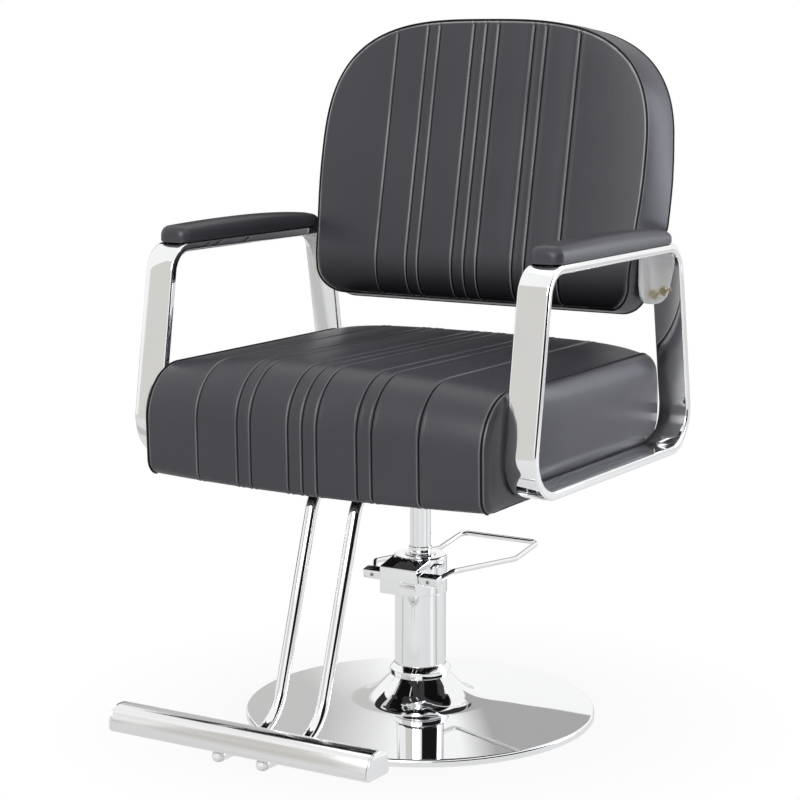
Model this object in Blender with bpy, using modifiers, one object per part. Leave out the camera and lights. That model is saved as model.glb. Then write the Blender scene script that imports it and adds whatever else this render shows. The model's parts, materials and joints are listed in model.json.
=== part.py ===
# Hairdressing chair: hydraulic pump base, swivelling padded seat, flat-bar arms and a footrest.
# Metres, +Z up. The chair faces -Y. The origin is on the floor, on the column's axis.
import math

import bmesh
import bpy
from mathutils import Vector

for leftover in list(bpy.data.objects):
    bpy.data.objects.remove(leftover, do_unlink=True)

# Fits
gap = 0.0003             # left between pieces that seat on each other
running = 0.0003         # radial, between a shaft and its bore
soft_gap = 0.0010        # left between padding and what presses on it

# Base
base_radius = 0.250
base_rim_height = 0.0115
base_wall = 0.0022
base_rim_lift = 0.0018   # rim above the floor, which the rubber pad makes up
flare_radius = 0.120     # where the trumpet runs out into the disc
flare_height = 0.0220
neck_radius = 0.0412
neck_height = 0.0538
floor_pad_radius = 0.236
floor_pad_thickness = 0.0030
collar_radius = 0.0423
collar_height = 0.0150
collar_slope = 0.0060
flange_radius = 0.075
flange_thickness = 0.006

# Pump
column_radius = 0.0365
column_wall = 0.0030
head_radius = 0.0382
head_bottom = 0.1810
head_top = 0.2344
head_roof = 0.0122
box_half_width = 0.0300
box_front = 0.0625       # ahead of the axis
box_bottom = 0.1865
box_top = 0.2255
ram_radius = 0.0150
cylinder_wall = 0.0033
piston_clearance = 0.0022
piston_length = 0.0150
piston_seal_height = 0.0050
piston_seal_depth = 0.0030
gland_height = 0.0118
gland_wall = 0.0015
gland_step = 0.0007

# Pedal
shaft_forward = 0.0500
shaft_height = 0.2115
shaft_radius = 0.0060
hub_length = 0.0300
hub_depth = 0.0156
hub_height = 0.0136
hub_grip = 0.0160        # length of shaft inside each clamp block
pedal_rod = 0.0040
pedal_half_width = 0.0650
pedal_reach = 0.2870     # from shaft to crossbar
pedal_dip = 0.0105
pedal_rise = 0.0085
pedal_kick = 0.0710      # length of the turned-up end

# Seat support
seat_bottom = 0.3756     # lower lip of the seat's padding
board_bottom = 0.3800
board_thickness = 0.0150
plate_thickness = 0.0040
plate_half_width = 0.120
plate_front = 0.170
plate_rear = 0.130
hub_radius = 0.0280
hub_bottom = 0.3160
hub_flange_radius = 0.0500
hub_flange_thickness = 0.0080
ram_grip = 0.0340        # length of ram inside the seat hub

# Seat cushion
seat_front = 0.3060
seat_bow = 0.0130        # how far the front corners lie behind the middle
seat_rear = 0.2250
seat_half_width = 0.2586
seat_top = 0.5190        # at the side seams
seat_crown = 0.0175
seat_rear_crown = 0.0050
seat_front_round = 0.0850
seat_rear_round = 0.0350
seat_edge_round = 0.0100
seat_side_bulge = 0.0230
seat_seams = (0.0, 0.0221, 0.0823, 0.1041, 0.1716)
seat_board_margin = 0.0240

# Arms
arm_seat_room = 0.0087   # between the seat's side seam and the arm
arm_width = 0.0455
arm_thickness = 0.0120
arm_edge_round = 0.0030
arm_top = 0.6785
arm_front_top = 0.2128
arm_rear_top = 0.1870
arm_front_bottom = 0.2598
arm_rear_bottom = 0.2385
arm_upper_round = 0.0420
arm_lower_round = 0.0600
tab_width = 0.0450
tab_reach = 0.0800       # under the seat, inward of the arm
tab_overlap = 0.0220     # under the arm
tab_spacing = 0.1150     # each side of the axis
pad_front = 0.1905
pad_rear = 0.1580
pad_width = 0.0470
pad_height = 0.0195
pad_base_thickness = 0.0040
pad_base_inset = 0.0045

# Back
back_tilt = math.radians(11.3)
back_foot_forward = -0.1085   # front plane ahead of the axis at the back's lower edge
back_foot_height = 0.5900
back_height = 0.4018
back_side_flare = 0.0120      # how much wider the waist is than the foot
back_waist = 0.1900           # height of the widest place above the lower edge
back_arm_room = 0.0138        # between the back's lower side seam and the arm
back_foot_round = 0.0340
back_shoulder_power = 3.1     # squareness of the upper corners
back_cushion_depth = 0.0750
back_panel_edge = 0.0100
back_panel_dome = 0.0180
back_crown = 0.0110
back_band_bulge = 0.0140      # of the side band beyond the seam, at the waist and above
back_band_foot_bulge = 0.0040
back_ramp_low = 0.0950        # heights between which the foot's bulge grows to the waist's
back_ramp_high = 0.1320
back_band_top_bulge = 0.0085
back_roll = 0.0300            # how far the lower edge rolls back
back_roll_height = 0.0760
back_seams = (0.0, 0.0205, 0.0775, 0.0975, 0.1499)
back_board_thickness = 0.0180
back_board_margin = 0.0250
bracket_thickness = 0.0030
bracket_drop = 0.0895         # of the plate's foot below the arm's top
bracket_edge = 0.0043         # between the plate's edge and the arm's outer face
bracket_taper = 0.0220        # how much narrower the foot is than the top
bracket_foot_round = 0.0160
bracket_climb = 0.70          # part of the arm's upper bend that the plate follows
bracket_wing = 0.0225         # length ahead of the upright, along the back's side
bracket_wing_round = 0.0300
bolt_radius = 0.0040
bolt_head_radius = 0.0068
bolt_head_height = 0.0042
bolt_length = 0.0230
bolt_rise = 0.0150            # of the inner bolt above the bracket's foot
bolt_step = 0.0060            # of the outer bolt above the inner one

# Channels
seam_half_width = 0.0045
seam_depth = 0.0035
panel_puff = 0.0040      # swell of a panel between seams, for each 0.1 m of its width
piping_dip = 0.0020

# Widths that follow from the seat's
arm_inner = seat_half_width + arm_seat_room
arm_outer = arm_inner + arm_width
back_foot_half_width = arm_inner - back_arm_room
back_half_width = back_foot_half_width + back_side_flare
bracket_outer = arm_outer - bracket_edge
bracket_foot = arm_top - bracket_drop

# Footrest
tube_radius = 0.0085
tube_spacing = 0.0340    # each side of the axis
tube_rear = 0.0550
tube_knee = 0.2186       # where the upper and sloping runs would meet
tube_ankle = 0.3200      # where the sloping and lower runs would meet
tube_toe = 0.4470
tube_upper_round = 0.0400
tube_lower_round = 0.0700
tube_plug_length = 0.0080
clamp_half_width = 0.0560
clamp_length = 0.0220
clamp_cover = 0.0045
clamp_places = (0.1500, 0.0780)
bar_front = 0.4620
bar_depth = 0.0500
bar_bottom = 0.0656
bar_height = 0.0330
bar_half_length = 0.1960
bar_wall = 0.0020
bar_cap_thickness = 0.0030
bar_cap_plug = 0.0080

# Facets
round_steps = 32
base_steps = 48
rod_resolution = 2

parts = bpy.data.collections.new("hairdressing_chair")
cutters = bpy.data.collections.new("cutters")
bpy.context.scene.collection.children.link(parts)
bpy.context.scene.collection.children.link(cutters)


def look(name, colour, roughness, metallic):
    material = bpy.data.materials.new(name)
    material.use_nodes = True
    shader = material.node_tree.nodes["Principled BSDF"]
    shader.inputs["Base Color"].default_value = (*colour, 1.0)
    shader.inputs["Roughness"].default_value = roughness
    shader.inputs["Metallic"].default_value = metallic
    return material


chrome = look("chrome", (0.80, 0.81, 0.82), 0.05, 1.0)
steel = look("bare_steel", (0.45, 0.46, 0.47), 0.35, 1.0)
zinc = look("zinc_bolt", (0.72, 0.62, 0.38), 0.30, 1.0)
leather = look("charcoal_leather", (0.070, 0.070, 0.082), 0.42, 0.0)
rubber = look("black_rubber", (0.020, 0.020, 0.021), 0.70, 0.0)
plastic = look("black_plastic", (0.030, 0.030, 0.032), 0.45, 0.0)
plywood = look("plywood", (0.55, 0.40, 0.24), 0.65, 0.0)


def axis_empty(name, place, parent=None):
    empty = bpy.data.objects.new(name, None)
    parts.objects.link(empty)
    empty.location = place
    empty.parent = parent
    return empty


base_axis = axis_empty("base_axis", (0, 0, 0))
lift_axis = axis_empty("lift_axis", (0, 0, 0), base_axis)
swivel_axis = axis_empty("swivel_axis", (0, 0, 0), lift_axis)
pedal_axis = axis_empty("pedal_axis", (0, -shaft_forward, shaft_height), base_axis)


def place(name, mesh, material, parent, location=(0, 0, 0), rotation=(0, 0, 0)):
    item = bpy.data.objects.new(name, mesh)
    parts.objects.link(item)
    item.parent = parent
    item.location = location
    item.rotation_euler = rotation
    mesh.materials.append(material)
    mesh.shade_smooth()
    mesh.set_sharp_from_angle(angle=math.radians(35))
    return item


def guide(name, mesh, parent=None, location=(0, 0, 0), rotation=(0, 0, 0)):
    item = bpy.data.objects.new(name, mesh)
    cutters.objects.link(item)
    item.parent = parent
    item.location = location
    item.rotation_euler = rotation
    item.hide_render = True
    item.display_type = "WIRE"
    return item


def combine(item, other, operation):
    modifier = item.modifiers.new(other.name, "BOOLEAN")
    modifier.operation = operation
    modifier.object = other


def to_mesh(build):
    mesh = bpy.data.meshes.new("mesh")
    work = bmesh.new()
    build(work)
    bmesh.ops.recalc_face_normals(work, faces=work.faces)
    work.to_mesh(mesh)
    work.free()
    return mesh


def box_mesh(low, high):
    def build(work):
        made = bmesh.ops.create_cube(work, size=1.0)
        for vert in made["verts"]:
            vert.co = [a + (b - a) * (c + 0.5) for a, b, c in zip(low, high, vert.co)]
    return to_mesh(build)


def rod_mesh(radius, start, end, steps=round_steps):
    start, end = Vector(start), Vector(end)

    def build(work):
        made = bmesh.ops.create_cone(work, cap_ends=True, segments=steps, radius1=radius,
                                     radius2=radius, depth=(end - start).length)
        turn = (end - start).to_track_quat("Z", "Y").to_matrix().to_4x4()
        turn.translation = (start + end) / 2
        bmesh.ops.transform(work, matrix=turn, verts=made["verts"])
    return to_mesh(build)


def turned(name, profile, material, parent, steps=round_steps, location=(0, 0, 0), rotation=(0, 0, 0)):
    mesh = bpy.data.meshes.new(name)
    count = len(profile)
    meets_axis = profile[0][0] == 0
    edges = [(i, i + 1) for i in range(count - 1)]
    if not meets_axis:
        edges.append((count - 1, 0))
    mesh.from_pydata([(r, 0, z) for r, z in profile], edges, [])
    item = bpy.data.objects.new(name, mesh)
    parts.objects.link(item)
    item.parent = parent
    item.location = location
    item.rotation_euler = rotation
    mesh.materials.append(material)
    screw = item.modifiers.new("turn", "SCREW")
    screw.steps = screw.render_steps = steps
    screw.use_merge_vertices = True
    screw.merge_threshold = 0.00005
    screw.use_smooth_shade = True
    return item


def ring(name, inner, outer, low, high, material, parent, steps=round_steps):
    profile = [(outer, high), (outer, low), (inner, low), (inner, high)]
    return turned(name, profile, material, parent, steps)


def curve_mesh(curve):
    item = bpy.data.objects.new("curve", curve)
    parts.objects.link(item)
    shape = item.evaluated_get(bpy.context.evaluated_depsgraph_get())
    mesh = bpy.data.meshes.new_from_object(shape)
    bpy.data.objects.remove(item, do_unlink=True)
    work = bmesh.new()
    work.from_mesh(mesh)
    bmesh.ops.remove_doubles(work, verts=work.verts, dist=0.000005)
    bmesh.ops.recalc_face_normals(work, faces=work.faces)
    work.to_mesh(mesh)
    work.free()
    return mesh


def wire_mesh(points, radius):
    curve = bpy.data.curves.new("wire", "CURVE")
    curve.dimensions = "3D"
    curve.bevel_depth = radius
    curve.bevel_resolution = rod_resolution
    curve.use_fill_caps = True
    spline = curve.splines.new("POLY")
    spline.points.add(len(points) - 1)
    for point, spot in zip(spline.points, points):
        point.co = (*spot, 1.0)
    return curve_mesh(curve)


def sheet_mesh(loops, thickness):
    curve = bpy.data.curves.new("sheet", "CURVE")
    curve.dimensions = "2D"
    curve.fill_mode = "BOTH"
    curve.extrude = thickness / 2
    for loop in loops:
        spline = curve.splines.new("POLY")
        spline.points.add(len(loop) - 1)
        spline.use_cyclic_u = True
        for point, (x, y) in zip(spline.points, loop):
            point.co = (x, y, 0.0, 1.0)
    return curve_mesh(curve)


def arc(before, corner, after, radius, steps):
    before, corner, after = Vector(before), Vector(corner), Vector(after)
    back = (before - corner).normalized()
    ahead = (after - corner).normalized()
    opening = back.angle(ahead)
    run = radius / math.tan(opening / 2)
    centre = corner + (back + ahead).normalized() * radius / math.sin(opening / 2)
    first = corner + back * run - centre
    last = corner + ahead * run - centre
    sweep = math.pi - opening
    points = []
    for i in range(steps + 1):
        t = i / steps
        near = math.sin((1 - t) * sweep) / math.sin(sweep)
        far = math.sin(t * sweep) / math.sin(sweep)
        points.append(centre + first * near + last * far)
    return points


def bent_path(corners, radii, steps):
    path = [Vector(corners[0])]
    for i, radius in enumerate(radii, start=1):
        path += arc(corners[i - 1], corners[i], corners[i + 1], radius, steps)
    path.append(Vector(corners[-1]))
    return path


def rounded_outline(corners, radii, steps):
    outline = []
    count = len(corners)
    for i, radius in enumerate(radii):
        outline += arc(corners[i - 1], corners[i], corners[(i + 1) % count], radius, steps)
    return outline


def rounded_rectangle(low, high, radius, steps=4):
    corners = [(low[0], low[1]), (high[0], low[1]), (high[0], high[1]), (low[0], high[1])]
    return rounded_outline(corners, [radius] * 4, steps)


def loft_mesh(sections, closed=False):
    def build(work):
        loops = [[work.verts.new(spot) for spot in section] for section in sections]
        count = len(loops[0])
        pairs = list(zip(loops, loops[1:]))
        if closed:
            pairs.append((loops[-1], loops[0]))
        for near, far in pairs:
            for i in range(count):
                j = (i + 1) % count
                work.faces.new((near[i], near[j], far[j], far[i]))
        if not closed:
            work.faces.new(loops[0])
            work.faces.new(loops[-1])
    return to_mesh(build)


def mirrored(side):
    return {"left": 1, "right": -1}[side]


# Base: the dome's disc falls evenly from the flare to the rim
def disc_height(radius):
    fall = (radius - flare_radius) / (base_radius - flare_radius)
    return flare_height + (base_rim_height - flare_height) * fall


def flare(inner, lower, steps):
    points = []
    for i in range(steps + 1):
        turn = math.pi / 2 * i / steps
        radius = inner + (flare_radius - inner) * (1 - math.cos(turn))
        height = flare_height + (neck_height - flare_height) * (1 - math.sin(turn)) - lower
        points.append((radius, height))
    return points


plate_radius = base_radius - base_wall - gap
plate_top = disc_height(plate_radius) - base_wall - gap
plate_bottom = floor_pad_thickness + gap
column_bore = column_radius + gap
rim_round = 0.35 * base_rim_height


def build_base():
    outer = flare(neck_radius, 0, 7)
    outer.append((base_radius - rim_round, disc_height(base_radius - rim_round)))
    outer.append((base_radius - 0.3 * rim_round, disc_height(base_radius) - 0.3 * rim_round))
    outer.append((base_radius, base_rim_height - rim_round))
    outer.append((base_radius, base_rim_lift))
    inside = base_radius - base_wall
    inner = [(inside, base_rim_lift), (inside, disc_height(inside) - base_wall)]
    inner += list(reversed(flare(column_bore, base_wall, 3)))
    inner[-1] = (column_bore, neck_height)
    turned("base_dome", outer + inner, chrome, base_axis, base_steps)
    pad = rod_mesh(floor_pad_radius, (0, 0, 0), (0, 0, floor_pad_thickness), base_steps)
    place("floor_pad", pad, rubber, base_axis)
    plate = rod_mesh(plate_radius, (0, 0, plate_bottom), (0, 0, plate_top), base_steps)
    place("base_plate", plate, steel, base_axis)
    foot = plate_top + gap
    ring("column_flange", column_bore, flange_radius, foot, foot + flange_thickness, steel, base_axis)
    seat = neck_height + gap
    shoulder = seat + collar_height
    collar = [(column_bore, shoulder + collar_slope), (collar_radius, shoulder), (collar_radius, seat),
              (column_bore, seat)]
    turned("base_collar", collar, chrome, base_axis)


# Pump: column, inner cylinder and a head casting with the pedal box in front
cylinder_bore = ram_radius + piston_clearance
cylinder_outer = cylinder_bore + cylinder_wall
head_ceiling = head_top - head_roof
gland_bore = ram_radius + running
seal_outer = cylinder_outer - gap


def build_pump():
    foot = plate_top + gap
    top = head_ceiling - gap
    ring("pump_column", column_radius - column_wall, column_radius, foot, top, chrome, base_axis)
    ring("pump_cylinder", cylinder_bore, cylinder_outer, foot, top, steel, base_axis)
    casting = rod_mesh(head_radius, (0, 0, head_bottom), (0, 0, head_top))
    head = place("pump_head", casting, chrome, base_axis)
    front = box_mesh((-box_half_width, -box_front, box_bottom),
                     (box_half_width, -shaft_forward / 2, box_top))
    combine(head, guide("pump_box", front), "UNION")
    below = head_bottom - head_roof
    bore = rod_mesh(column_bore, (0, 0, below), (0, 0, head_ceiling))
    combine(head, guide("column_bore", bore), "DIFFERENCE")
    seat = rod_mesh(seal_outer + gap, (0, 0, below), (0, 0, head_top + head_roof))
    combine(head, guide("seal_bore", seat), "DIFFERENCE")
    reach = box_half_width + hub_length
    across = rod_mesh(shaft_radius + running, (-reach, 0, 0), (reach, 0, 0), 24)
    combine(head, guide("shaft_bore", across, pedal_axis), "DIFFERENCE")
    ring("wiper_seal", gland_bore, seal_outer, head_ceiling, head_top - gap, rubber, base_axis)
    low = head_top + gap
    wide = gland_bore + gland_wall
    rim = max(wide, seal_outer + gap + gland_wall)
    shelf = low + gland_height / 2
    gland = [(wide, low + gland_height), (wide, shelf), (wide - gland_step, shelf),
             (wide - gland_step, low + gland_wall), (rim, low + gland_wall), (rim, low), (gland_bore, low),
             (gland_bore, low + gland_height)]
    turned("gland_ring", gland, chrome, base_axis)


# Ram: the piston slides in the cylinder, and the rod stands on it and turns with the seat
piston_foot = plate_top + gap
piston_top = piston_foot + piston_length
plate_under = board_bottom - gap - plate_thickness
hub_top = plate_under - gap


def build_ram():
    widest = cylinder_bore - running
    groove = widest - piston_seal_depth
    low = piston_foot + (piston_length - piston_seal_height) / 2
    high = low + piston_seal_height
    profile = [(0, piston_top), (widest, piston_top), (widest, high), (groove, high), (groove, low),
               (widest, low), (widest, piston_foot), (0, piston_foot)]
    turned("piston", profile, steel, lift_axis)
    ring("piston_seal", groove + gap, widest, low + gap, high - gap, rubber, lift_axis)
    top = hub_bottom + ram_grip
    chamfer = ram_radius - 0.001
    rod = [(0, top), (chamfer, top), (ram_radius, top - 0.001), (ram_radius, piston_top + gap),
           (0, piston_top + gap)]
    turned("ram", rod, chrome, swivel_axis)
    roof = top + gap
    neck = hub_top - hub_flange_thickness
    hub = [(0, hub_top), (hub_flange_radius, hub_top), (hub_flange_radius, neck),
           (hub_radius, neck - gap * 20), (hub_radius, hub_bottom + 0.002), (hub_radius - 0.002, hub_bottom),
           (gland_bore, hub_bottom), (gland_bore, roof), (0, roof)]
    turned("seat_hub", hub, steel, swivel_axis)


# Pedal: a wire loop held in clamp blocks on the cross shaft
def build_pedal():
    inner = box_half_width + gap * 2
    outer = inner + hub_length
    grip = inner + hub_grip
    shaft = rod_mesh(shaft_radius, (-grip, 0, 0), (grip, 0, 0), 24)
    place("pedal_shaft", shaft, steel, pedal_axis)
    rod_place = (grip + outer) / 2
    deep = hub_depth / 2
    for side in ("left", "right"):
        way = mirrored(side)
        ends = sorted((way * inner, way * outer))
        block = box_mesh((ends[0], -deep, -hub_height / 2), (ends[1], deep, hub_height / 2))
        hub = place("pedal_hub_" + side, block, chrome, pedal_axis)
        bevel = hub.modifiers.new("edges", "BEVEL")
        bevel.width = 0.0010
        bevel.segments = 2
        shaft_hole = rod_mesh(shaft_radius + gap, (0, 0, 0), (way * (grip + gap), 0, 0), 24)
        combine(hub, guide("shaft_hole_" + side, shaft_hole, pedal_axis), "DIFFERENCE")
        out = way * rod_place
        rod_hole = rod_mesh(pedal_rod + gap, (out, -pedal_rod, 0), (out, hub_depth, 0), 16)
        combine(hub, guide("rod_hole_" + side, rod_hole, pedal_axis), "DIFFERENCE")
    leg = [(rod_place, -pedal_rod + gap, 0), (rod_place, hub_depth * 0.8, 0),
           (pedal_half_width - 0.001, hub_depth * 2, pedal_rise),
           (pedal_half_width, pedal_reach - pedal_kick, -pedal_dip), (pedal_half_width, pedal_reach, 0)]
    corners = leg + [(-x, y, z) for x, y, z in reversed(leg)]
    radii = (0.010, 0.015, 0.040, 0.012)
    loop = bent_path(corners, radii + tuple(reversed(radii)), 5)
    place("pedal_loop", wire_mesh(loop, pedal_rod), chrome, pedal_axis)


# Channelled padding: seams dip, and the panel between two seams swells with its width
def channel(x, seams, edge):
    lines = sorted({sign * seam for seam in seams for sign in (-1, 1)} | {-edge, edge})
    nearest = min(abs(x - line) for line in lines)
    if nearest < seam_half_width:
        return -seam_depth * (1 - nearest / seam_half_width)
    left = max(line for line in lines if line <= x)
    right = min(line for line in lines if line > x)
    width = right - left
    across = (x - left) / width
    return panel_puff * width / 0.1 * 4 * across * (1 - across)


def channel_columns(seams, edge, widest_plain):
    lines = sorted({sign * seam for seam in seams for sign in (-1, 1)})
    columns = {line + shift for line in lines for shift in (-seam_half_width, 0, seam_half_width)}
    stops = [-edge] + lines + [edge]
    for left, right in zip(stops, stops[1:]):
        if right - left > widest_plain:
            columns.add((left + right) / 2)
    return sorted(columns)


# Seat: side profile from the lower front edge, over the waterfall and top, and down the rear
seat_lower_tuck = 0.004


def seat_section(x):
    across = min(abs(x) / seat_half_width, 1.0)
    front = -seat_front + seat_bow * across ** 2
    top = seat_top + seat_crown * (1 - across ** 2.4)
    rear_top = seat_top + seat_rear_crown * (1 - across ** 2.4)
    corners = [(front + seat_lower_tuck, seat_bottom), (front, top), (seat_rear, rear_top),
               (seat_rear - seat_lower_tuck, seat_bottom)]
    before, after = corners[3], corners[0]
    outline = arc(before, corners[0], corners[1], seat_edge_round, 2)
    outline += arc(corners[0], corners[1], corners[2], seat_front_round, 5)
    flat_start = outline[-1]
    rear = arc(corners[1], corners[2], corners[3], seat_rear_round, 3)
    for part in (0.33, 0.67):
        outline.append(flat_start.lerp(rear[0], part))
    outline += rear
    outline += arc(corners[2], corners[3], after, seat_edge_round, 2)
    padded = range(3, len(outline) - 3)
    return outline, padded


def swell(outline, padded, amount):
    moved = [spot.copy() for spot in outline]
    for i in padded:
        along = outline[i + 1] - outline[i - 1]
        moved[i] += Vector((-along.y, along.x)).normalized() * amount
    return moved


def seat_sections():
    sections = []
    inside = seat_half_width - 2 * seam_half_width
    for x in [-inside] + channel_columns(seat_seams, seat_half_width, 0.045) + [inside]:
        outline, padded = seat_section(x)
        shaped = swell(outline, padded, channel(x, seat_seams, seat_half_width))
        sections.append([(x, spot.x, spot.y) for spot in shaped])
    rim, padded = seat_section(seat_half_width)
    seam = swell(rim, padded, -piping_dip)
    middle = Vector((seat_rear - seat_front, seat_bottom + seat_top)) / 2
    caps = [(seat_half_width, seam)]
    for shrink, out in ((0.975, 0.45), (0.90, 0.78), (0.72, 0.95), (0.40, 1.0)):
        ring_points = [middle + (spot - middle) * shrink for spot in rim]
        caps.append((seat_half_width + seat_side_bulge * out, ring_points))
    right = [[(x, spot.x, spot.y) for spot in points] for x, points in caps]
    left = [[(-x, y, z) for x, y, z in section] for section in reversed(right)]
    return left + sections + right


def arm_corners():
    return [(-arm_front_bottom, board_bottom), (-arm_front_top, arm_top), (arm_rear_top, arm_top),
            (arm_rear_bottom, board_bottom)]


arm_radii = (arm_lower_round, arm_upper_round, arm_upper_round, arm_lower_round)


# A bar swept round the arm's outline: the rounded rectangle runs inward from the outer face
def bar_sweep(grow, steps):
    outline = rounded_outline(arm_corners(), arm_radii, steps)
    count = len(outline)
    low, high = arm_inner - grow, arm_outer + grow
    section = rounded_rectangle((low, -grow), (high, arm_thickness + grow), arm_edge_round, 2)
    sections = []
    for i, spot in enumerate(outline):
        along = outline[(i + 1) % count] - outline[i - 1]
        inward = Vector((along.y, -along.x)).normalized()
        sections.append([(x, *(spot + inward * depth)) for x, depth in section])
    return loft_mesh(sections, closed=True)


def build_seat():
    place("seat_plate", sheet_mesh([rounded_rectangle((-plate_half_width, -plate_front),
          (plate_half_width, plate_rear), 0.02)], plate_thickness), steel, swivel_axis,
          (0, 0, plate_under + plate_thickness / 2))
    side = seat_half_width - seat_board_margin
    low = (-side, -seat_front + seat_bow + seat_board_margin)
    high = (side, seat_rear - seat_board_margin)
    board = sheet_mesh([rounded_rectangle(low, high, 0.03)], board_thickness)
    place("seat_board", board, plywood, swivel_axis, (0, 0, board_bottom + board_thickness / 2))
    cushion = place("seat_cushion", loft_mesh(seat_sections()), leather, swivel_axis)
    below = board_bottom - seat_bottom + board_thickness
    pocket = box_mesh((low[0] - gap, low[1] - gap, board_bottom - below),
                      (high[0] + gap, high[1] + gap, board_bottom + board_thickness + gap))
    combine(cushion, guide("board_pocket", pocket, swivel_axis), "DIFFERENCE")
    for side in ("left", "right"):
        way = mirrored(side)
        squeeze = guide("arm_room_" + side, bar_sweep(soft_gap, 5), swivel_axis)
        squeeze.scale = (way, 1, 1)
        combine(cushion, squeeze, "DIFFERENCE")
        for end, spot in (("front", -tab_spacing), ("rear", tab_spacing)):
            ends = sorted((way * (arm_inner - tab_reach - gap), way * arm_outer))
            notch = box_mesh((ends[0], spot - tab_width / 2 - soft_gap, board_bottom - below),
                             (ends[1], spot + tab_width / 2 + soft_gap, board_bottom))
            combine(cushion, guide("tab_notch_" + end + "_" + side, notch, swivel_axis), "DIFFERENCE")


# Arms: loops of flat bar, a tab pair under the seat and a pad on top
def pad_sections(width, low, height, front, rear, steps, squareness):
    sections = []
    half = (front + rear) / 2
    middle = (rear - front) / 2
    for i in range(steps + 1):
        turn = math.pi * (i / steps - 0.5)
        reach = math.copysign(abs(math.sin(turn)) ** (2 / squareness), turn)
        shrink = max(abs(math.cos(turn)), 0.12) ** (2 / squareness)
        loop = []
        for k in range(11):
            around = math.pi * k / 10
            out = math.copysign(abs(math.cos(around)) ** 0.55, math.cos(around)) * width / 2 * shrink
            up = math.sin(around) ** 0.55 * height * (0.35 + 0.65 * shrink)
            loop.append((out, middle + half * reach, low + up))
        sections.append(loop)
    return sections


def build_arms():
    middle = (arm_inner + arm_outer) / 2
    for side in ("left", "right"):
        way = mirrored(side)
        frame = place("arm_frame_" + side, bar_sweep(0, 7), chrome, swivel_axis)
        frame.data.transform(((way, 0, 0, 0), (0, 1, 0, 0), (0, 0, 1, 0), (0, 0, 0, 1)))
        if way < 0:
            frame.data.flip_normals()
        for bolt in bolt_spots(way):
            hole = rod_mesh(bolt_radius + gap, bolt["head"], bolt["tip"], 16)
            combine(frame, guide("arm_hole_" + bolt["name"], hole, swivel_axis), "DIFFERENCE")
        for end, spot in (("front", -tab_spacing), ("rear", tab_spacing)):
            ends = sorted((way * (arm_inner - tab_reach), way * (arm_inner + tab_overlap)))
            outline = rounded_rectangle((ends[0], spot - tab_width / 2), (ends[1], spot + tab_width / 2),
                                        0.008)
            place("arm_tab_" + end + "_" + side, sheet_mesh([outline], plate_thickness), steel, swivel_axis,
                  (0, 0, plate_under + plate_thickness / 2))
        base = rounded_rectangle((-pad_width / 2 + pad_base_inset, -pad_front + pad_base_inset),
                                 (pad_width / 2 - pad_base_inset, pad_rear - pad_base_inset), 0.016)
        place("arm_pad_base_" + side, sheet_mesh([base], pad_base_thickness), plastic, swivel_axis,
              (way * middle, 0, arm_top + gap + pad_base_thickness / 2))
        low = arm_top + 2 * gap + pad_base_thickness
        pad = loft_mesh(pad_sections(pad_width, 0, pad_height, pad_front, pad_rear, 16, 5.0))
        place("arm_pad_" + side, pad, leather, swivel_axis, (way * middle, 0, low))


# The front face of an arm's rear upright, which the back's brackets are bolted to
def upright_face(height):
    lean = (arm_rear_bottom - arm_rear_top) / (arm_top - board_bottom)
    outer = arm_rear_top + (arm_top - height) * lean
    return outer - arm_thickness * math.sqrt(1 + lean ** 2), math.atan(lean)


back_flare = (back_half_width - back_foot_half_width) / (back_waist - back_foot_round)
bracket_reach = (arm_top - arm_thickness - back_foot_height) / math.cos(back_tilt) - back_foot_round
bracket_inner = back_foot_half_width + back_flare * bracket_reach + back_band_foot_bulge + 5 * gap


def bolt_spots(way):
    spots = []
    first = bracket_inner + bracket_thickness + bolt_head_radius + soft_gap
    for number in (1, 2):
        out = first + (number - 1) * (2 * bolt_head_radius + soft_gap)
        height = bracket_foot + bolt_rise + (number - 1) * bolt_step
        depth, lean = upright_face(height)
        across = Vector((0, -math.cos(lean), -math.sin(lean)))
        face = Vector((way * out, depth, height)) + across * (bracket_thickness + 2 * gap)
        side = "left" if way > 0 else "right"
        spots.append({"name": "%s_%d" % (side, number), "seat": face, "lean": lean,
                      "head": face + across * bolt_head_height, "tip": face - across * bolt_length})
    return spots


# Back: everything is placed in the leaning plane of its front face
back_axis = axis_empty("back_axis", (0, -back_foot_forward, back_foot_height), swivel_axis)
back_axis.rotation_euler = (-back_tilt, 0, 0)


def back_span(x):
    across = abs(x)
    upper = max(0.0, 1 - (across / back_half_width) ** back_shoulder_power) ** (1 / back_shoulder_power)
    top = back_waist + (back_height - back_waist) * upper
    straight = back_foot_half_width - back_foot_round
    if across <= straight:
        return 0.0, top
    if across < back_foot_half_width:
        return back_foot_round - math.sqrt(back_foot_round ** 2 - (across - straight) ** 2), top
    climb = (across - back_foot_half_width) / (back_half_width - back_foot_half_width)
    return back_foot_round + climb * (back_waist - back_foot_round), top


def back_face(x, up):
    depth = back_crown * (abs(x) / back_half_width) ** 2
    if up < back_roll_height:
        fall = 1 - up / back_roll_height
        depth += back_roll * (1 - math.sqrt(max(0.0, 1 - fall ** 2)))
    return depth


# A spot on the band round the back: a share of the bulge outward from the seam's outline
def band_spot(x, upper, share):
    which = 1 if upper else 0
    step = 0.0005
    level = back_span(x)[which]
    slope = (back_span(x + step)[which] - back_span(x - step)[which]) / (2 * step)
    outward = Vector((-slope, 1)).normalized()
    over = back_band_top_bulge
    if not upper:
        outward = -outward
        over = back_band_foot_bulge
    climb = (level - back_ramp_low) / (back_ramp_high - back_ramp_low)
    climb = min(max(climb, 0.0), 1.0)
    side = back_band_foot_bulge + (back_band_bulge - back_band_foot_bulge) * climb * climb * (3 - 2 * climb)
    bulge = (side + (over - side) * abs(outward.y)) * share
    return x + outward.x * bulge, level + outward.y * bulge


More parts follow.
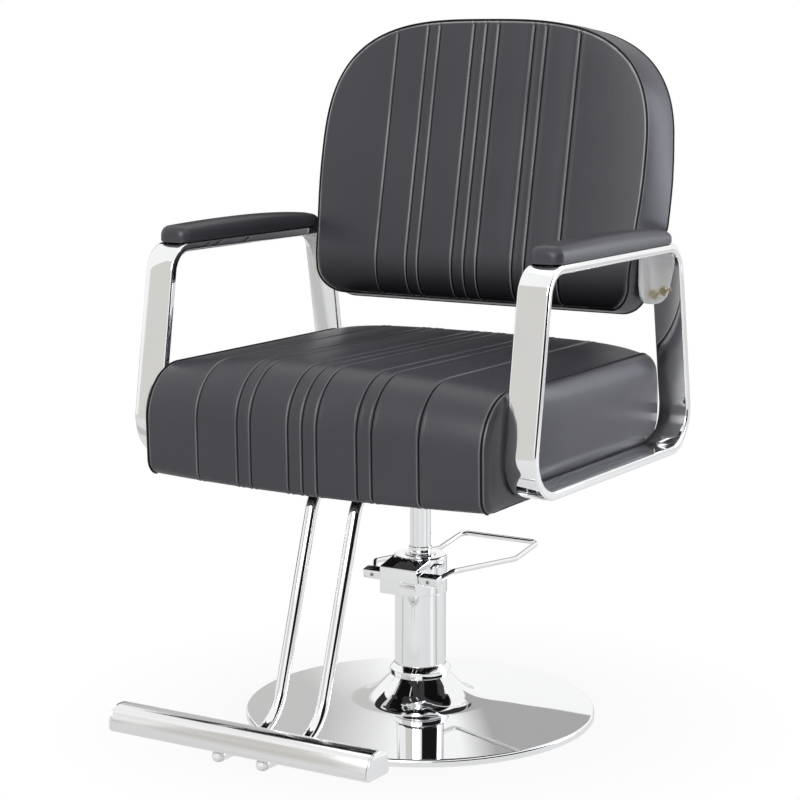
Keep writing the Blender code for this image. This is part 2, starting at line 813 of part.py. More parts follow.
# Columns outside the channels: round the lower corner, then up the side
def back_stations(columns):
    straight = back_foot_half_width - back_foot_round
    sides = [(columns[-1] + straight) / 2]
    sides += [straight + back_foot_round * math.sin(math.pi / 2 * part) for part in (0, 0.25, 0.5, 0.8)]
    room = back_half_width - back_foot_half_width
    sides += [back_foot_half_width + room * part for part in (0, 0.4, 0.75, 0.96)]
    return [-x for x in reversed(sides)] + columns + sides


band_steps = ((0.55, 0.28), (1.0, 0.62), (0.8, 1.0))


def back_sections(rows):
    sections = []
    straight = back_foot_half_width - back_foot_round
    inner = [x for x in channel_columns(back_seams, back_half_width, 0.045) if abs(x) < straight - 0.03]
    rear = back_cushion_depth
    for x in back_stations(inner):
        low, high = back_span(x)
        puff = channel(x, back_seams, back_half_width - 0.02) if abs(x) < straight + 0.01 else 0.0
        loop = []
        for i in range(rows + 1):
            up = low + (high - low) * (1 - math.cos(math.pi * i / rows)) / 2
            edge = min(i, rows - i, 1)
            loop.append((x, back_face(x, up) - puff * edge + (0.004 if edge == 0 else 0.0), up))
        over = (True, loop[-1][1], band_steps)
        under = (False, loop[0][1], reversed(band_steps))
        for upper, start, steps in (over, under):
            for share, part in steps:
                out, up = band_spot(x, upper, share)
                loop.append((out, start + (rear - start) * part, up))
        sections.append(loop)
    return sections


def back_panel_sections(rows):
    sections = []
    near = back_cushion_depth + gap
    share = band_steps[-1][0]
    for x in back_stations([0.145 * part / 3 for part in range(-3, 4)]):
        low, high = back_span(x)
        across = 1 - (abs(x) / back_half_width) ** 4
        loop = []
        for upper in (True, False):
            out, up = band_spot(x, upper, share)
            loop.append((out, near, up))
        for i in range(rows + 1):
            part = (1 - math.cos(math.pi * i / rows)) / 2
            dome = back_panel_dome * across * (1 - (2 * part - 1) ** 4)
            inset = 0.15 * min(back_panel_edge, high - low)
            up = low + inset + (high - low - 2 * inset) * part
            loop.append((x, near + back_panel_edge + dome, up))
        sections.append(loop)
    return sections


def back_outline(margin, steps):
    xs = [(back_half_width - 0.001) * math.sin(math.pi / 2 * i / steps) for i in range(-steps, steps + 1)]
    middle = back_height / 2
    straight = back_foot_half_width - back_foot_round
    foot = [x for x in xs if abs(x) > straight] + [-straight, straight]
    outline = [(x, back_span(x)[1]) for x in xs]
    outline += [(x, back_span(x)[0]) for x in sorted(foot, reverse=True)]
    wide = (back_half_width - margin) / back_half_width
    tall = (middle - margin) / middle
    return [(x * wide, middle + (y - middle) * tall) for x, y in outline]


def build_back():
    cushion = place("back_cushion", loft_mesh(back_sections(9)), leather, back_axis)
    upright = (math.pi / 2, 0, 0)
    board_middle = back_cushion_depth - gap - back_board_thickness / 2
    board = sheet_mesh([back_outline(back_board_margin, 9)], back_board_thickness)
    place("back_board", board, plywood, back_axis, (0, board_middle, 0), upright)
    room = sheet_mesh([back_outline(back_board_margin - gap, 9)], back_board_thickness + 4 * gap)
    pocket = guide("back_pocket", room, back_axis, (0, board_middle + gap, 0), upright)
    combine(cushion, pocket, "DIFFERENCE")
    place("back_panel", loft_mesh(back_panel_sections(7)), leather, back_axis)


# A line up the rear upright and into its upper bend, at some depth inside the bar's outer face
def upright_line(depth, heights, steps):
    corners = [Vector(corner) for corner in arm_corners()]
    back = (corners[1] - corners[2]).normalized()
    ahead = (corners[3] - corners[2]).normalized()
    corner = corners[2] + (back + ahead).normalized() * depth / math.sin(back.angle(ahead) / 2)
    bend = arc(corner + back, corner, corner + ahead, arm_upper_round - depth, steps)
    line = [corner + ahead * (corner.y - height) / -ahead.y for height in heights]
    kept = 1 + round(bracket_climb * steps)
    return line + list(reversed(bend))[:kept]


# An L-shaped plate: one leg on the upright's face, the other forward along the back's side
def bracket_mesh(way):
    rises = [bracket_foot_round * (1 - math.cos(math.pi / 2 * step / 4)) for step in range(5)]
    rises.append(bracket_wing_round)
    heights = [bracket_foot + rise for rise in rises]
    near = upright_line(arm_thickness + gap, heights, 8)
    far = upright_line(arm_thickness + gap + bracket_thickness, heights, 8)
    edge = upright_face(arm_top - arm_thickness)[0] - bracket_thickness - bracket_wing
    sections = []
    for inner, outer in zip(near, far):
        rise = inner.y - bracket_foot
        round_off = max(0.0, bracket_foot_round - rise)
        inset = bracket_foot_round - math.sqrt(max(0.0, bracket_foot_round ** 2 - round_off ** 2))
        part = rise / (arm_top - arm_thickness - bracket_foot)
        low = way * bracket_inner
        web = way * (bracket_inner + bracket_thickness)
        high = way * (bracket_outer - bracket_taper * (1 - part) - inset)
        lift = min(max(1 - rise / bracket_wing_round, 0.0), 1.0)
        reach = (outer.x - edge) * max(0.06, math.sqrt(1 - lift ** 2))
        front = (outer.x - reach, outer.y)
        sections.append([(low, *inner), (high, *inner), (high, *outer), (web, *outer), (web, *front),
                         (low, *front)])
    return loft_mesh(sections)


def build_brackets():
    for side in ("left", "right"):
        way = mirrored(side)
        bracket = place("back_bracket_" + side, bracket_mesh(way), chrome, swivel_axis)
        for bolt in bolt_spots(way):
            hole = rod_mesh(bolt_radius + gap, bolt["head"], bolt["tip"], 16)
            combine(bracket, guide("bracket_hole_" + bolt["name"], hole, swivel_axis), "DIFFERENCE")
            profile = [(0, bolt_head_height), (bolt_head_radius * 0.8, bolt_head_height),
                       (bolt_head_radius, bolt_head_height * 0.6), (bolt_head_radius, 0), (bolt_radius, 0),
                       (bolt_radius, -bolt_length), (0, -bolt_length)]
            turned("back_bolt_" + bolt["name"], profile, zinc, swivel_axis, 16, bolt["seat"],
                   (math.pi / 2 + bolt["lean"], 0, 0))


# Footrest: two bent tubes clamped under the seat plate carry a D-section bar
tube_level = plate_under - gap - tube_radius
tube_low = bar_bottom - gap - tube_radius


def bar_outline(shrink):
    half = bar_depth / 2 - shrink
    tall = bar_height - 2 * shrink
    outline = []
    for i in range(15):
        turn = math.pi * i / 14
        out = math.copysign(abs(math.cos(turn)) ** 0.75, math.cos(turn)) * half
        outline.append((out, shrink + tall * (0.12 + 0.88 * math.sin(turn) ** 0.85)))
    outline += [(-half + 0.003, shrink), (half - 0.003, shrink)]
    return outline


def build_footrest():
    for side in ("left", "right"):
        x = mirrored(side) * tube_spacing
        corners = [(x, -tube_rear, tube_level), (x, -tube_knee, tube_level), (x, -tube_ankle, tube_low),
                   (x, -tube_toe, tube_low)]
        path = bent_path(corners, (tube_upper_round, tube_lower_round), 8)
        place("footrest_tube_" + side, wire_mesh(path, tube_radius), chrome, swivel_axis)
        plug = [(0, tube_plug_length), (tube_radius * 0.7, tube_plug_length),
                (tube_radius, tube_plug_length * 0.6), (tube_radius, 0), (0, 0)]
        turned("footrest_plug_" + side, plug, plastic, swivel_axis, 20,
               (x, -tube_toe - gap, tube_low), (math.pi / 2, 0, 0))
    for number, spot in enumerate(clamp_places, start=1):
        low = (-clamp_half_width, -spot - clamp_length / 2, tube_level - tube_radius - clamp_cover)
        high = (clamp_half_width, -spot + clamp_length / 2, plate_under - gap)
        clamp = place("footrest_clamp_%d" % number, box_mesh(low, high), steel, swivel_axis)
        for side in ("left", "right"):
            x = mirrored(side) * tube_spacing
            groove = box_mesh((x - tube_radius - gap, -spot - clamp_length, tube_level),
                              (x + tube_radius + gap, -spot + clamp_length, plate_under + gap))
            hole = rod_mesh(tube_radius + gap, (x, -spot - clamp_length, tube_level),
                            (x, -spot + clamp_length, tube_level), 24)
            combine(clamp, guide("tube_hole_%s_%d" % (side, number), hole, swivel_axis), "DIFFERENCE")
            combine(clamp, guide("tube_groove_%s_%d" % (side, number), groove, swivel_axis), "DIFFERENCE")
    lengthwise = (math.pi / 2, 0, math.pi / 2)
    centre = -bar_front + bar_depth / 2
    bar = sheet_mesh([bar_outline(0), bar_outline(bar_wall)], 2 * bar_half_length)
    place("footrest_bar", bar, chrome, swivel_axis, (0, centre, bar_bottom), lengthwise)
    for side in ("left", "right"):
        way = mirrored(side)
        face = bar_half_length + gap + bar_cap_thickness / 2
        lid = sheet_mesh([bar_outline(0)], bar_cap_thickness)
        cap = place("footrest_cap_" + side, lid, chrome, swivel_axis, (way * face, centre, bar_bottom),
                    lengthwise)
        plug = sheet_mesh([bar_outline(bar_wall + gap)], bar_cap_plug)
        inside = way * (bar_half_length - bar_cap_plug / 2 + bar_cap_thickness / 2 + gap)
        spigot = guide("cap_plug_" + side, plug, swivel_axis, (inside, centre, bar_bottom), lengthwise)
        combine(cap, spigot, "UNION")


build_base()
build_pump()
build_ram()
build_pedal()
build_seat()
build_arms()
build_back()
build_brackets()
build_footrest()
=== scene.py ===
import json
import math

import bmesh
import bpy
import numpy as np
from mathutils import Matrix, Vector

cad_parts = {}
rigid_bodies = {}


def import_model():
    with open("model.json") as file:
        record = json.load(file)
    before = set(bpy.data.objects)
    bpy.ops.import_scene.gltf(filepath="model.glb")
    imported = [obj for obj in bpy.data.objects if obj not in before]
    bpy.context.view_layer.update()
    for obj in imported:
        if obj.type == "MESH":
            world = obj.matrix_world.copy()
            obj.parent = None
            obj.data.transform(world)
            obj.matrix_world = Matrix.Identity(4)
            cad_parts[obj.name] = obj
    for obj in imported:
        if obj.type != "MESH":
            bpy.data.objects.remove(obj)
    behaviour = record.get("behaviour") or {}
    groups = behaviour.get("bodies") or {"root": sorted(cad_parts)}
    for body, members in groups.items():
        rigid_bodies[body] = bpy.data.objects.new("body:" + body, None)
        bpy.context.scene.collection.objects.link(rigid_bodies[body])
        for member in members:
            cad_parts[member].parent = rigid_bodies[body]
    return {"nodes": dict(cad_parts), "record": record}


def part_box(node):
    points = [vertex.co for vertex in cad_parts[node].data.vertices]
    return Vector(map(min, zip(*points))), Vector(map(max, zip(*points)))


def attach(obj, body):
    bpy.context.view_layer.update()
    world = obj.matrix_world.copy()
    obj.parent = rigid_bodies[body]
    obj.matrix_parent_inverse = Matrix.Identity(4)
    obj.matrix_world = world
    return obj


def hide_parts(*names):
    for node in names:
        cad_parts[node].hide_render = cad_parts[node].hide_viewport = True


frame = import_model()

for spare in [item for item in bpy.data.objects if item.name in ("Cube", "Light", "Camera")]:
    bpy.data.objects.remove(spare)
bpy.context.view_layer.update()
scene = bpy.context.scene
scene.view_settings.view_transform = "Standard"
sides = {"left": 1, "right": -1}
seatGap = 0.0003         # left between pieces that seat on each other
sameSpot = 0.00002       # points nearer than about this count as one
print("frame loaded:", len(frame["nodes"]), "nodes")

cameraSetup = {
    "place": (1.5599, -2.6401, 0.9605),
    "target": (-0.0249, -0.0150, 0.4557),
    "lens": 99.36,       # mm
    "sensor": 36.0,
}


def aimFrom(item, place, target):
    scene.collection.objects.link(item)
    item.location = place
    item.rotation_euler = (Vector(target) - Vector(place)).to_track_quat("-Z", "Y").to_euler()


def addCamera():
    lens = bpy.data.cameras.new("photoCamera")
    lens.sensor_width = cameraSetup["sensor"]
    lens.lens = cameraSetup["lens"]
    camera = bpy.data.objects.new("photoCamera", lens)
    aimFrom(camera, cameraSetup["place"], cameraSetup["target"])
    scene.camera = camera


addCamera()


# one output of a node; arithmetic on it adds Math nodes
class Socket:
    def __init__(self, graph, port):
        self.graph = graph
        self.port = port

    def maths(self, operation, first, second):
        return self.graph.node("ShaderNodeMath", {"operation": operation}, {0: first, 1: second})

    def __add__(self, other):
        return self.maths("ADD", self, other)

    def __radd__(self, other):
        return self.maths("ADD", other, self)

    def __sub__(self, other):
        return self.maths("SUBTRACT", self, other)

    def __mul__(self, other):
        return self.maths("MULTIPLY", self, other)

    def clamped(self):
        return self.graph.node("ShaderNodeClamp", None, {0: self})


class Graph:
    def __init__(self, tree):
        self.tree = tree

    def node(self, kind, settings=None, sockets=None, output=0):
        made = self.tree.nodes.new(kind)
        for key, value in (settings or {}).items():
            setattr(made, key, value)
        for key, value in (sockets or {}).items():
            self.put(made.inputs[key], value)
        return Socket(self, made.outputs[output]) if made.outputs else None

    def put(self, port, value):
        if isinstance(value, Socket):
            self.tree.links.new(value.port, port)
        elif isinstance(value, tuple) and port.type == "RGBA":
            port.default_value = (*value, 1.0)
        else:
            port.default_value = value

    def mix(self, share, first, second):
        return self.node("ShaderNodeMix", {"data_type": "RGBA"}, {0: share, 6: first, 7: second}, 2)

    def noise(self, spot, scale, detail=2.0, roughness=0.5):
        return self.node("ShaderNodeTexNoise", None, {"Vector": spot, "Scale": scale, "Detail": detail,
                                                      "Roughness": roughness})

    def lightPath(self, output):
        return self.node("ShaderNodeLightPath", None, None, output)


# a material whose Principled sockets take numbers, colours or sockets
class Finish(Graph):
    def __init__(self, name):
        self.material = bpy.data.materials.new(name)
        self.material.use_nodes = True
        super().__init__(self.material.node_tree)
        self.shader = self.tree.nodes["Principled BSDF"]
        self.plain = Socket(self, self.shader.outputs[0])
        self.spot = self.node("ShaderNodeTexCoord", None, None, 3)

    def set(self, **values):
        for key, value in values.items():
            self.put(self.shader.inputs[key.replace("_", " ")], value)

    def stretched(self, scale):
        return self.node("ShaderNodeMapping", None, {"Vector": self.spot, "Scale": scale})

    def bump(self, height, strength, distance, under=None):
        sockets = {"Height": height, "Strength": strength, "Distance": distance}
        if under is not None:
            sockets["Normal"] = under
        return self.node("ShaderNodeBump", None, sockets)

    def blend(self, share, first, second):
        both = self.node("ShaderNodeMixShader", None, {0: share, 1: first, 2: second})
        self.put(self.tree.nodes["Material Output"].inputs["Surface"], both)


leatherLook = {
    "colour": (0.0500, 0.0490, 0.0590),
    "worn": (0.0620, 0.0610, 0.0720),
    "deep": (0.0040, 0.0040, 0.0055),    # painted shade down in a seam's crease and at the foot of the back
    "edge": (0.5600, 0.5600, 0.5800),    # painted highlight on the lip beside a seam
    "grain": 760.0,                      # cells in a metre
    "pores": 2600.0,
    "roughness": 0.33,
    "gloss": 0.40,
}
pipingLook = {**leatherLook, "colour": (0.0060, 0.0060, 0.0070), "worn": (0.0100, 0.0100, 0.0110),
              "gloss": 0.15}


def leatherFinish(name, look):
    made = Finish(name)
    patches = made.noise(made.spot, 7.0, 4.0, 0.55)
    cells = made.node("ShaderNodeTexVoronoi", {"feature": "SMOOTH_F1"},
                      {"Vector": made.spot, "Scale": look["grain"], "Smoothness": 0.6})
    pores = made.noise(made.spot, look["pores"], 2.0)
    # the seam layer paints light on the leather: above 0 a painted highlight on the lips beside seams and
    # edges, below 0 painted shade in the creases and towards the foot of the back
    seam = made.node("ShaderNodeAttribute", {"attribute_name": "seam"}, None, 2)
    paintedCreaseShade = (seam * -1.0).clamped()
    lip = seam.clamped() * ((patches - 0.20) * 2.8).clamped()
    colour = made.mix((patches - 0.35).clamped() * 1.4, look["colour"], look["worn"])
    colour = made.mix((cells * 0.5).clamped(), colour, look["colour"])
    colour = made.mix(lip, colour, look["edge"])
    colour = made.mix(paintedCreaseShade, colour, look["deep"])
    grain = cells * 0.75 + pores * 0.25
    folds = made.noise(made.spot, 34.0, 3.0, 0.6)
    relief = made.bump(folds, 0.10, 0.0025)
    relief = made.bump(grain, 0.20, 0.00045, relief)
    rough = look["roughness"] + (patches - 0.5) * 0.14 + cells * 0.10 - lip * 0.10
    made.set(Base_Color=colour, Roughness=rough, Specular_IOR_Level=look["gloss"], Normal=relief)
    # painted shade: a flat dark diffuse shader blended in where crease shade is painted
    paintedCreaseShader = made.node("ShaderNodeBsdfDiffuse", None, {"Color": look["deep"]})
    made.blend(paintedCreaseShade, made.plain, paintedCreaseShader)
    return made.material


chromeLook = {"colour": (0.900, 0.905, 0.910), "film": (0.860, 0.865, 0.875), "roughness": 0.018,
              "smears": 0.030}


def chromeFinish(name, look):
    made = Finish(name)
    smears = made.noise(made.spot, 16.0, 4.0, 0.6)
    ripple = made.noise(made.spot, 21.0, 1.0)
    haze = (smears - 0.45).clamped()
    made.set(Base_Color=made.mix(haze * 1.5, look["colour"], look["film"]), Metallic=1.0,
             Roughness=look["roughness"] + haze * look["smears"] * 3.0,
             Normal=made.bump(ripple, 0.06, 0.0006))
    return made.material


steelLook = {"colour": (0.42, 0.43, 0.44), "dark": (0.27, 0.275, 0.28), "roughness": 0.34}
zincLook = {"colour": (0.80, 0.71, 0.50), "dark": (0.55, 0.48, 0.33), "roughness": 0.27}
satinLook = {"colour": (0.97, 0.97, 0.97), "dark": (0.92, 0.92, 0.92), "roughness": 0.30, "metal": 0.05}
darkSteelLook = {"colour": (0.10, 0.10, 0.105), "dark": (0.06, 0.06, 0.062), "roughness": 0.50}
brushedLook = {"colour": (0.92, 0.92, 0.92), "dark": (0.66, 0.66, 0.655), "roughness": 0.10}
beadLook = {"colour": (0.66, 0.56, 0.40), "dark": (0.40, 0.33, 0.26), "roughness": 0.33}


def metalFinish(name, look, stretch):
    made = Finish(name)
    strokes = made.noise(made.stretched(stretch), 60.0, 4.0, 0.65)
    stains = made.noise(made.spot, 24.0, 3.0)
    shade = (stains * 0.5 + strokes * 0.5).clamped()
    made.set(Base_Color=made.mix(shade, look["colour"], look["dark"]), Metallic=look.get("metal", 1.0),
             Roughness=look["roughness"] + strokes * 0.22, Normal=made.bump(strokes, 0.15, 0.0002))
    return made.material


def brushedFinish(name, look):
    made = Finish(name)
    fine = made.noise(made.stretched((0.9, 150.0, 150.0)), 1.6, 5.0, 0.7)
    broad = made.noise(made.stretched((0.5, 46.0, 46.0)), 1.7, 2.0, 0.5)
    strokes = ((fine * 0.55 + broad * 0.45 - 0.36) * 3.0).clamped()
    made.set(Base_Color=made.mix(strokes, look["colour"], look["dark"]), Metallic=1.0,
             Roughness=look["roughness"] + strokes * 0.16, Normal=made.bump(fine, 0.10, 0.0004))
    return made.material


rubberLook = {"colour": (0.018, 0.018, 0.019), "dust": (0.040, 0.040, 0.041), "roughness": 0.72,
              "grain": 900.0}
plasticLook = {"colour": (0.022, 0.022, 0.024), "dust": (0.034, 0.034, 0.037), "roughness": 0.46,
               "grain": 1500.0}
clothLook = {"colour": (0.005, 0.005, 0.005), "dust": (0.009, 0.009, 0.009), "roughness": 0.85,
             "grain": 1200.0, "gloss": 0.08}


def mouldedFinish(name, look):
    made = Finish(name)
    dust = made.noise(made.spot, 30.0, 4.0)
    texture = made.noise(made.spot, look["grain"], 2.0)
    made.set(Base_Color=made.mix(dust, look["colour"], look["dust"]),
             Roughness=look["roughness"] + (texture - 0.5) * 0.2, Specular_IOR_Level=look.get("gloss", 0.5),
             Normal=made.bump(texture, 0.2, 0.0003))
    return made.material


plyLook = {"colour": (0.52, 0.37, 0.21), "grain": (0.36, 0.23, 0.12), "roughness": 0.62}


def plyFinish(name, look):
    made = Finish(name)
    figure = made.noise(made.stretched((1.0, 14.0, 14.0)), 9.0, 5.0, 0.6)
    layers = made.node("ShaderNodeTexWave", {"bands_direction": "Z"},
                       {"Vector": made.spot, "Scale": 160.0, "Distortion": 1.5, "Detail": 2.0})
    shade = (figure * 0.7 + layers * 0.3).clamped()
    made.set(Base_Color=made.mix(shade, look["colour"], look["grain"]),
             Roughness=look["roughness"] + figure * 0.15, Normal=made.bump(shade, 0.2, 0.0004))
    return made.material


finishes = {
    "leather": leatherFinish("charcoalLeather", leatherLook),
    "chrome": chromeFinish("mirrorChrome", chromeLook),
    "steel": metalFinish("machinedSteel", steelLook, (1.0, 18.0, 18.0)),
    "zinc": metalFinish("yellowZinc", zincLook, (6.0, 6.0, 6.0)),
    "bead": metalFinish("weldBead", beadLook, (5.0, 5.0, 5.0)),
    "rubber": mouldedFinish("blackRubber", rubberLook),
    "plastic": mouldedFinish("blackPlastic", plasticLook),
    "cloth": mouldedFinish("dustCloth", clothLook),
    "plywood": plyFinish("plywood", plyLook),
    "piping": leatherFinish("leatherPiping", pipingLook),
    "satin": metalFinish("satinPlate", satinLook, (3.0, 3.0, 3.0)),
    "darkSteel": metalFinish("darkSteel", darkSteelLook, (2.0, 2.0, 2.0)),
    "brushed": brushedFinish("brushedChrome", brushedLook),
}
print("finishes:", len(finishes))


# shape helpers: all in metres, in the chair's own frame
def gridFaces(rows, columns, start=0, wrapRows=False, wrapColumns=False):
    i, j = np.meshgrid(np.arange(rows if wrapRows else rows - 1),
                       np.arange(columns if wrapColumns else columns - 1), indexing="ij")
    row, below, beside = i * columns, (i + 1) % rows * columns, (j + 1) % columns
    quads = np.stack([row + j, row + beside, below + beside, below + j], -1)
    return (quads.reshape(-1, 4) + start).tolist()


def endFaces(rows, count):
    return [list(range(count)), list(range((rows - 1) * count, rows * count))]


# white surroundings for the camera and for mirrors, quieter light for everything else
studio = {
    "ambient": 0.34,
    "floorShade": 0.55,
    "floorReach": 6.0,
    "floorSunk": 0.0002,
    "floorNear": 0.92,       # share of pure white in the floor beside the chair, and further away
    "floorFar": 1.0,
    "farFrom": 0.26,
    "farRise": 3.6,
    "floorInMirrors": 0.62,
    "middle": (0.0, 0.0, 0.5),
    "lamps": {
        "rightSoftbox": {"place": (2.0, 1.6, 1.1), "size": 1.6, "power": 37.0, "tint": (0.86, 0.90, 1.0)},
        "frontSoftbox": {"place": (0.55, -2.95, 2.2), "size": 1.7, "power": 58.0},
        "topSoftbox": {"place": (-0.3, 0.5, 2.9), "size": 1.6, "power": 5.0},
    },
    # flags that only reflections see: turn from the camera to its right, half width, shade, soft ends
    "flags": {
        "blackWallRight": {"turn": 50, "half": 44, "shade": (0.010, 0.010, 0.011), "walls": (0.26, 1.6),
                           "soft": 0.06},
        "brightFlagRight": {"turn": 52, "half": 9, "shade": (1.0, 1.0, 1.0), "walls": (0, 0.1), "soft": 0.5,
                            "floor": 0.30},
        "greyFlagRight": {"turn": 74, "half": 5, "shade": (0.50, 0.50, 0.50), "walls": (0, 0.1), "soft": 0.6,
                          "floor": 0.30},
        "darkFlagBack": {"turn": 150, "half": 5, "shade": (0.34, 0.34, 0.34), "walls": (0, 0.2), "soft": 0.4,
                         "floor": 0.30},
        "greyFlagLeft": {"turn": -84, "half": 5, "shade": (0.56, 0.56, 0.56), "walls": (0, 0.2), "soft": 0.5,
                         "floor": 0.30},
        "darkWallLeft": {"turn": -126, "half": 18, "shade": (0.06, 0.06, 0.06), "walls": (0.04, 0.5),
                         "soft": 0.3},
        "warmWall": {"turn": -56, "half": 20, "shade": (0.70, 0.69, 0.66), "walls": (0, 2.4), "reach": 2.6},
        "greyWall": {"turn": 160, "half": 16, "shade": (0.42, 0.42, 0.415), "walls": (0.80, 1.70),
                     "soft": 0.2},
        "paleWall": {"turn": 196, "half": 14, "shade": (0.58, 0.58, 0.57), "walls": (0, 2.0), "soft": 0.5},
        "gapFlag": {"turn": 196, "half": 42, "shade": (0.03, 0.03, 0.03), "walls": (0.56, 1.00),
                    "reach": 0.85},
    },
    "flagReach": 2.4,
    "flagLift": 0.0004,
    "flagSoft": 0.05,
}


def addStage(name, points, faces, material):
    mesh = bpy.data.meshes.new(name)
    mesh.from_pydata(points, [], faces)
    mesh.materials.append(material)
    item = bpy.data.objects.new(name, mesh)
    scene.collection.objects.link(item)
    return item


def addFlag(name, flag):
    shade = Finish(name)
    flat = shade.node("ShaderNodeEmission", None, {"Color": flag["shade"], "Strength": 1.0})
    clear = shade.node("ShaderNodeBsdfTransparent")
    cover = shade.node("ShaderNodeAttribute", {"attribute_name": "cover"}, None, 2)
    shade.blend(cover, clear, flat)
    ahead = Vector(cameraSetup["place"]).xy.normalized()
    aside = Vector((-ahead.y, ahead.x))
    reach, lift = flag.get("reach", studio["flagReach"]), studio["flagLift"]
    inner = flag["half"] * (1 - flag.get("soft", studio["flagSoft"]))
    turns = [math.radians(flag["turn"] + step) for step in (-flag["half"], -inner, inner, flag["half"])]
    low, high = flag["walls"]
    levels = [(reach, high), (reach, low + lift)]
    if "floor" in flag:
        levels.append((flag["floor"], lift))
    points = []
    for out, level in levels:
        for turn in turns:
            spot = (ahead * math.cos(turn) + aside * math.sin(turn)) * out
            points.append((spot.x, spot.y, level))
    item = addStage(name, points, gridFaces(len(levels), len(turns)), shade.material)
    edge = item.data.attributes.new("cover", "FLOAT", "POINT")
    edge.data.foreach_set("value", [0.0, 1.0, 1.0, 0.0] * len(levels))
    item.visible_camera = item.visible_diffuse = item.visible_shadow = item.visible_transmission = False


def addStudio():
    world = bpy.data.worlds.new("whiteStudio")
    scene.world = world
    world.use_nodes = True
    world.node_tree.nodes.clear()
    graph = Graph(world.node_tree)
    white = (1.0, 1.0, 1.0)
    dim = graph.node("ShaderNodeBackground", None, {"Color": white, "Strength": studio["ambient"]})
    bright = graph.node("ShaderNodeBackground", None, {"Color": white, "Strength": 1.0})
    seen = graph.lightPath("Is Camera Ray") + graph.lightPath("Is Glossy Ray")
    seen = seen + graph.lightPath("Is Transmission Ray")
    both = graph.node("ShaderNodeMixShader", None, {0: seen, 1: dim, 2: bright})
    graph.node("ShaderNodeOutputWorld", None, {"Surface": both})

    pale = Finish("paleFloor")
    pale.set(Base_Color=(studio["floorShade"],) * 3, Roughness=0.7)
    glow = pale.node("ShaderNodeEmission", None, {"Color": white, "Strength": 1.0})
    away = pale.node("ShaderNodeVectorMath", {"operation": "LENGTH"}, {0: pale.spot}, 1)
    far = ((away - studio["farFrom"]) * studio["farRise"]).clamped()
    clear = studio["floorNear"] + far * (studio["floorFar"] - studio["floorNear"])
    mirrors = pale.lightPath("Is Glossy Ray") + pale.lightPath("Is Transmission Ray")
    share = pale.lightPath("Is Camera Ray") * clear + mirrors * studio["floorInMirrors"]
    pale.blend(share, pale.plain, glow)
    reach = studio["floorReach"]
    corners = [(-reach, -reach, 0), (reach, -reach, 0), (reach, reach, 0), (-reach, reach, 0)]
    addStage("floor", corners, [(0, 1, 2, 3)], pale.material).location.z = -studio["floorSunk"]
    for name, flag in studio["flags"].items():
        addFlag(name, flag)

    for name, lamp in studio["lamps"].items():
        light = bpy.data.lights.new(name, "AREA")
        light.size = lamp["size"]
        light.energy = lamp["power"]
        light.color = lamp.get("tint", white)
        item = bpy.data.objects.new(name, light)
        aimFrom(item, lamp["place"], studio["middle"])
        item.visible_camera = False


addStudio()
print("studio set")


def buildMesh(name, points, faces, sharpAngle=38, marks=None):
    mesh = bpy.data.meshes.new(name)
    mesh.from_pydata(np.asarray(points, float).reshape(-1, 3).tolist(), [], faces)
    if marks is not None:
        # the seam layer holds painted highlight (above 0) and painted shade (below 0) for the leather
        layer = mesh.attributes.new("seam", "FLOAT", "POINT")
        layer.data.foreach_set("value", np.asarray(marks, np.float32))
    work = bmesh.new()
    work.from_mesh(mesh)
    bmesh.ops.remove_doubles(work, verts=work.verts, dist=0.00001)
    bmesh.ops.recalc_face_normals(work, faces=work.faces)
    work.to_mesh(mesh)
    work.free()
    mesh.shade_smooth()
    mesh.set_sharp_from_angle(angle=math.radians(sharpAngle))
    return mesh


def addPiece(name, mesh, finish, body, stands):
    piece = bpy.data.objects.new(name, mesh)
    scene.collection.objects.link(piece)
    mesh.materials.append(finishes[finish])
    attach(piece, body)
    if stands:
        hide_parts(*stands)
    return piece


def addShape(name, shape, finish, body, stands=(), sharpAngle=38):
    points, faces = shape
    addPiece(name, buildMesh(name, points, faces, sharpAngle), finish, body, stands)


def rectangle(left, right, low, high):
    return [(left, low), (right, low), (right, high), (left, high)]


def fillet(corners, radii, steps=5, closed=True):
    corners = [Vector(corner) for corner in corners]
    radii = radii if hasattr(radii, "__len__") else [radii] * len(corners)
    outline = []
    for i, corner in enumerate(corners):
        if not closed and i in (0, len(corners) - 1):
            outline.append(tuple(corner))
            continue
        back, ahead = corners[i - 1] - corner, corners[(i + 1) % len(corners)] - corner
        opening = back.angle(ahead)
        run = min(radii[i] / math.tan(opening / 2), 0.49 * back.length, 0.49 * ahead.length)
        radius = run * math.tan(opening / 2)
        back.normalize()
        ahead.normalize()
        centre = corner + (back + ahead).normalized() * radius / math.sin(opening / 2)
        first, last = corner + back * run - centre, corner + ahead * run - centre
        sweep = math.pi - opening
        for k in range(steps + 1):
            near = math.sin((1 - k / steps) * sweep) / math.sin(sweep)
            far = math.sin(k / steps * sweep) / math.sin(sweep)
            outline.append(tuple(centre + first * near + last * far))
    return outline


def turnProfile(profile, steps, closed=True):
    profile = np.array(profile)
    turn = np.linspace(0, 2 * math.pi, steps, endpoint=False)
    points = np.stack([profile[:, :1] * np.cos(turn), profile[:, :1] * np.sin(turn),
                       np.repeat(profile[:, 1:], steps, 1)], -1)
    return points.reshape(-1, 3), gridFaces(len(profile), steps, 0, closed, True)


def outwardOf(outline):
    along = np.roll(outline, -1, 0) - np.roll(outline, 1, 0)
    outward = np.stack([along[:, 1], -along[:, 0]], -1)
    outward /= np.linalg.norm(outward, axis=1)[:, None]
    area = np.sum(outline[:, 0] * np.roll(outline[:, 1], -1) - np.roll(outline[:, 0], -1) * outline[:, 1])
    return outward if area > 0 else -outward


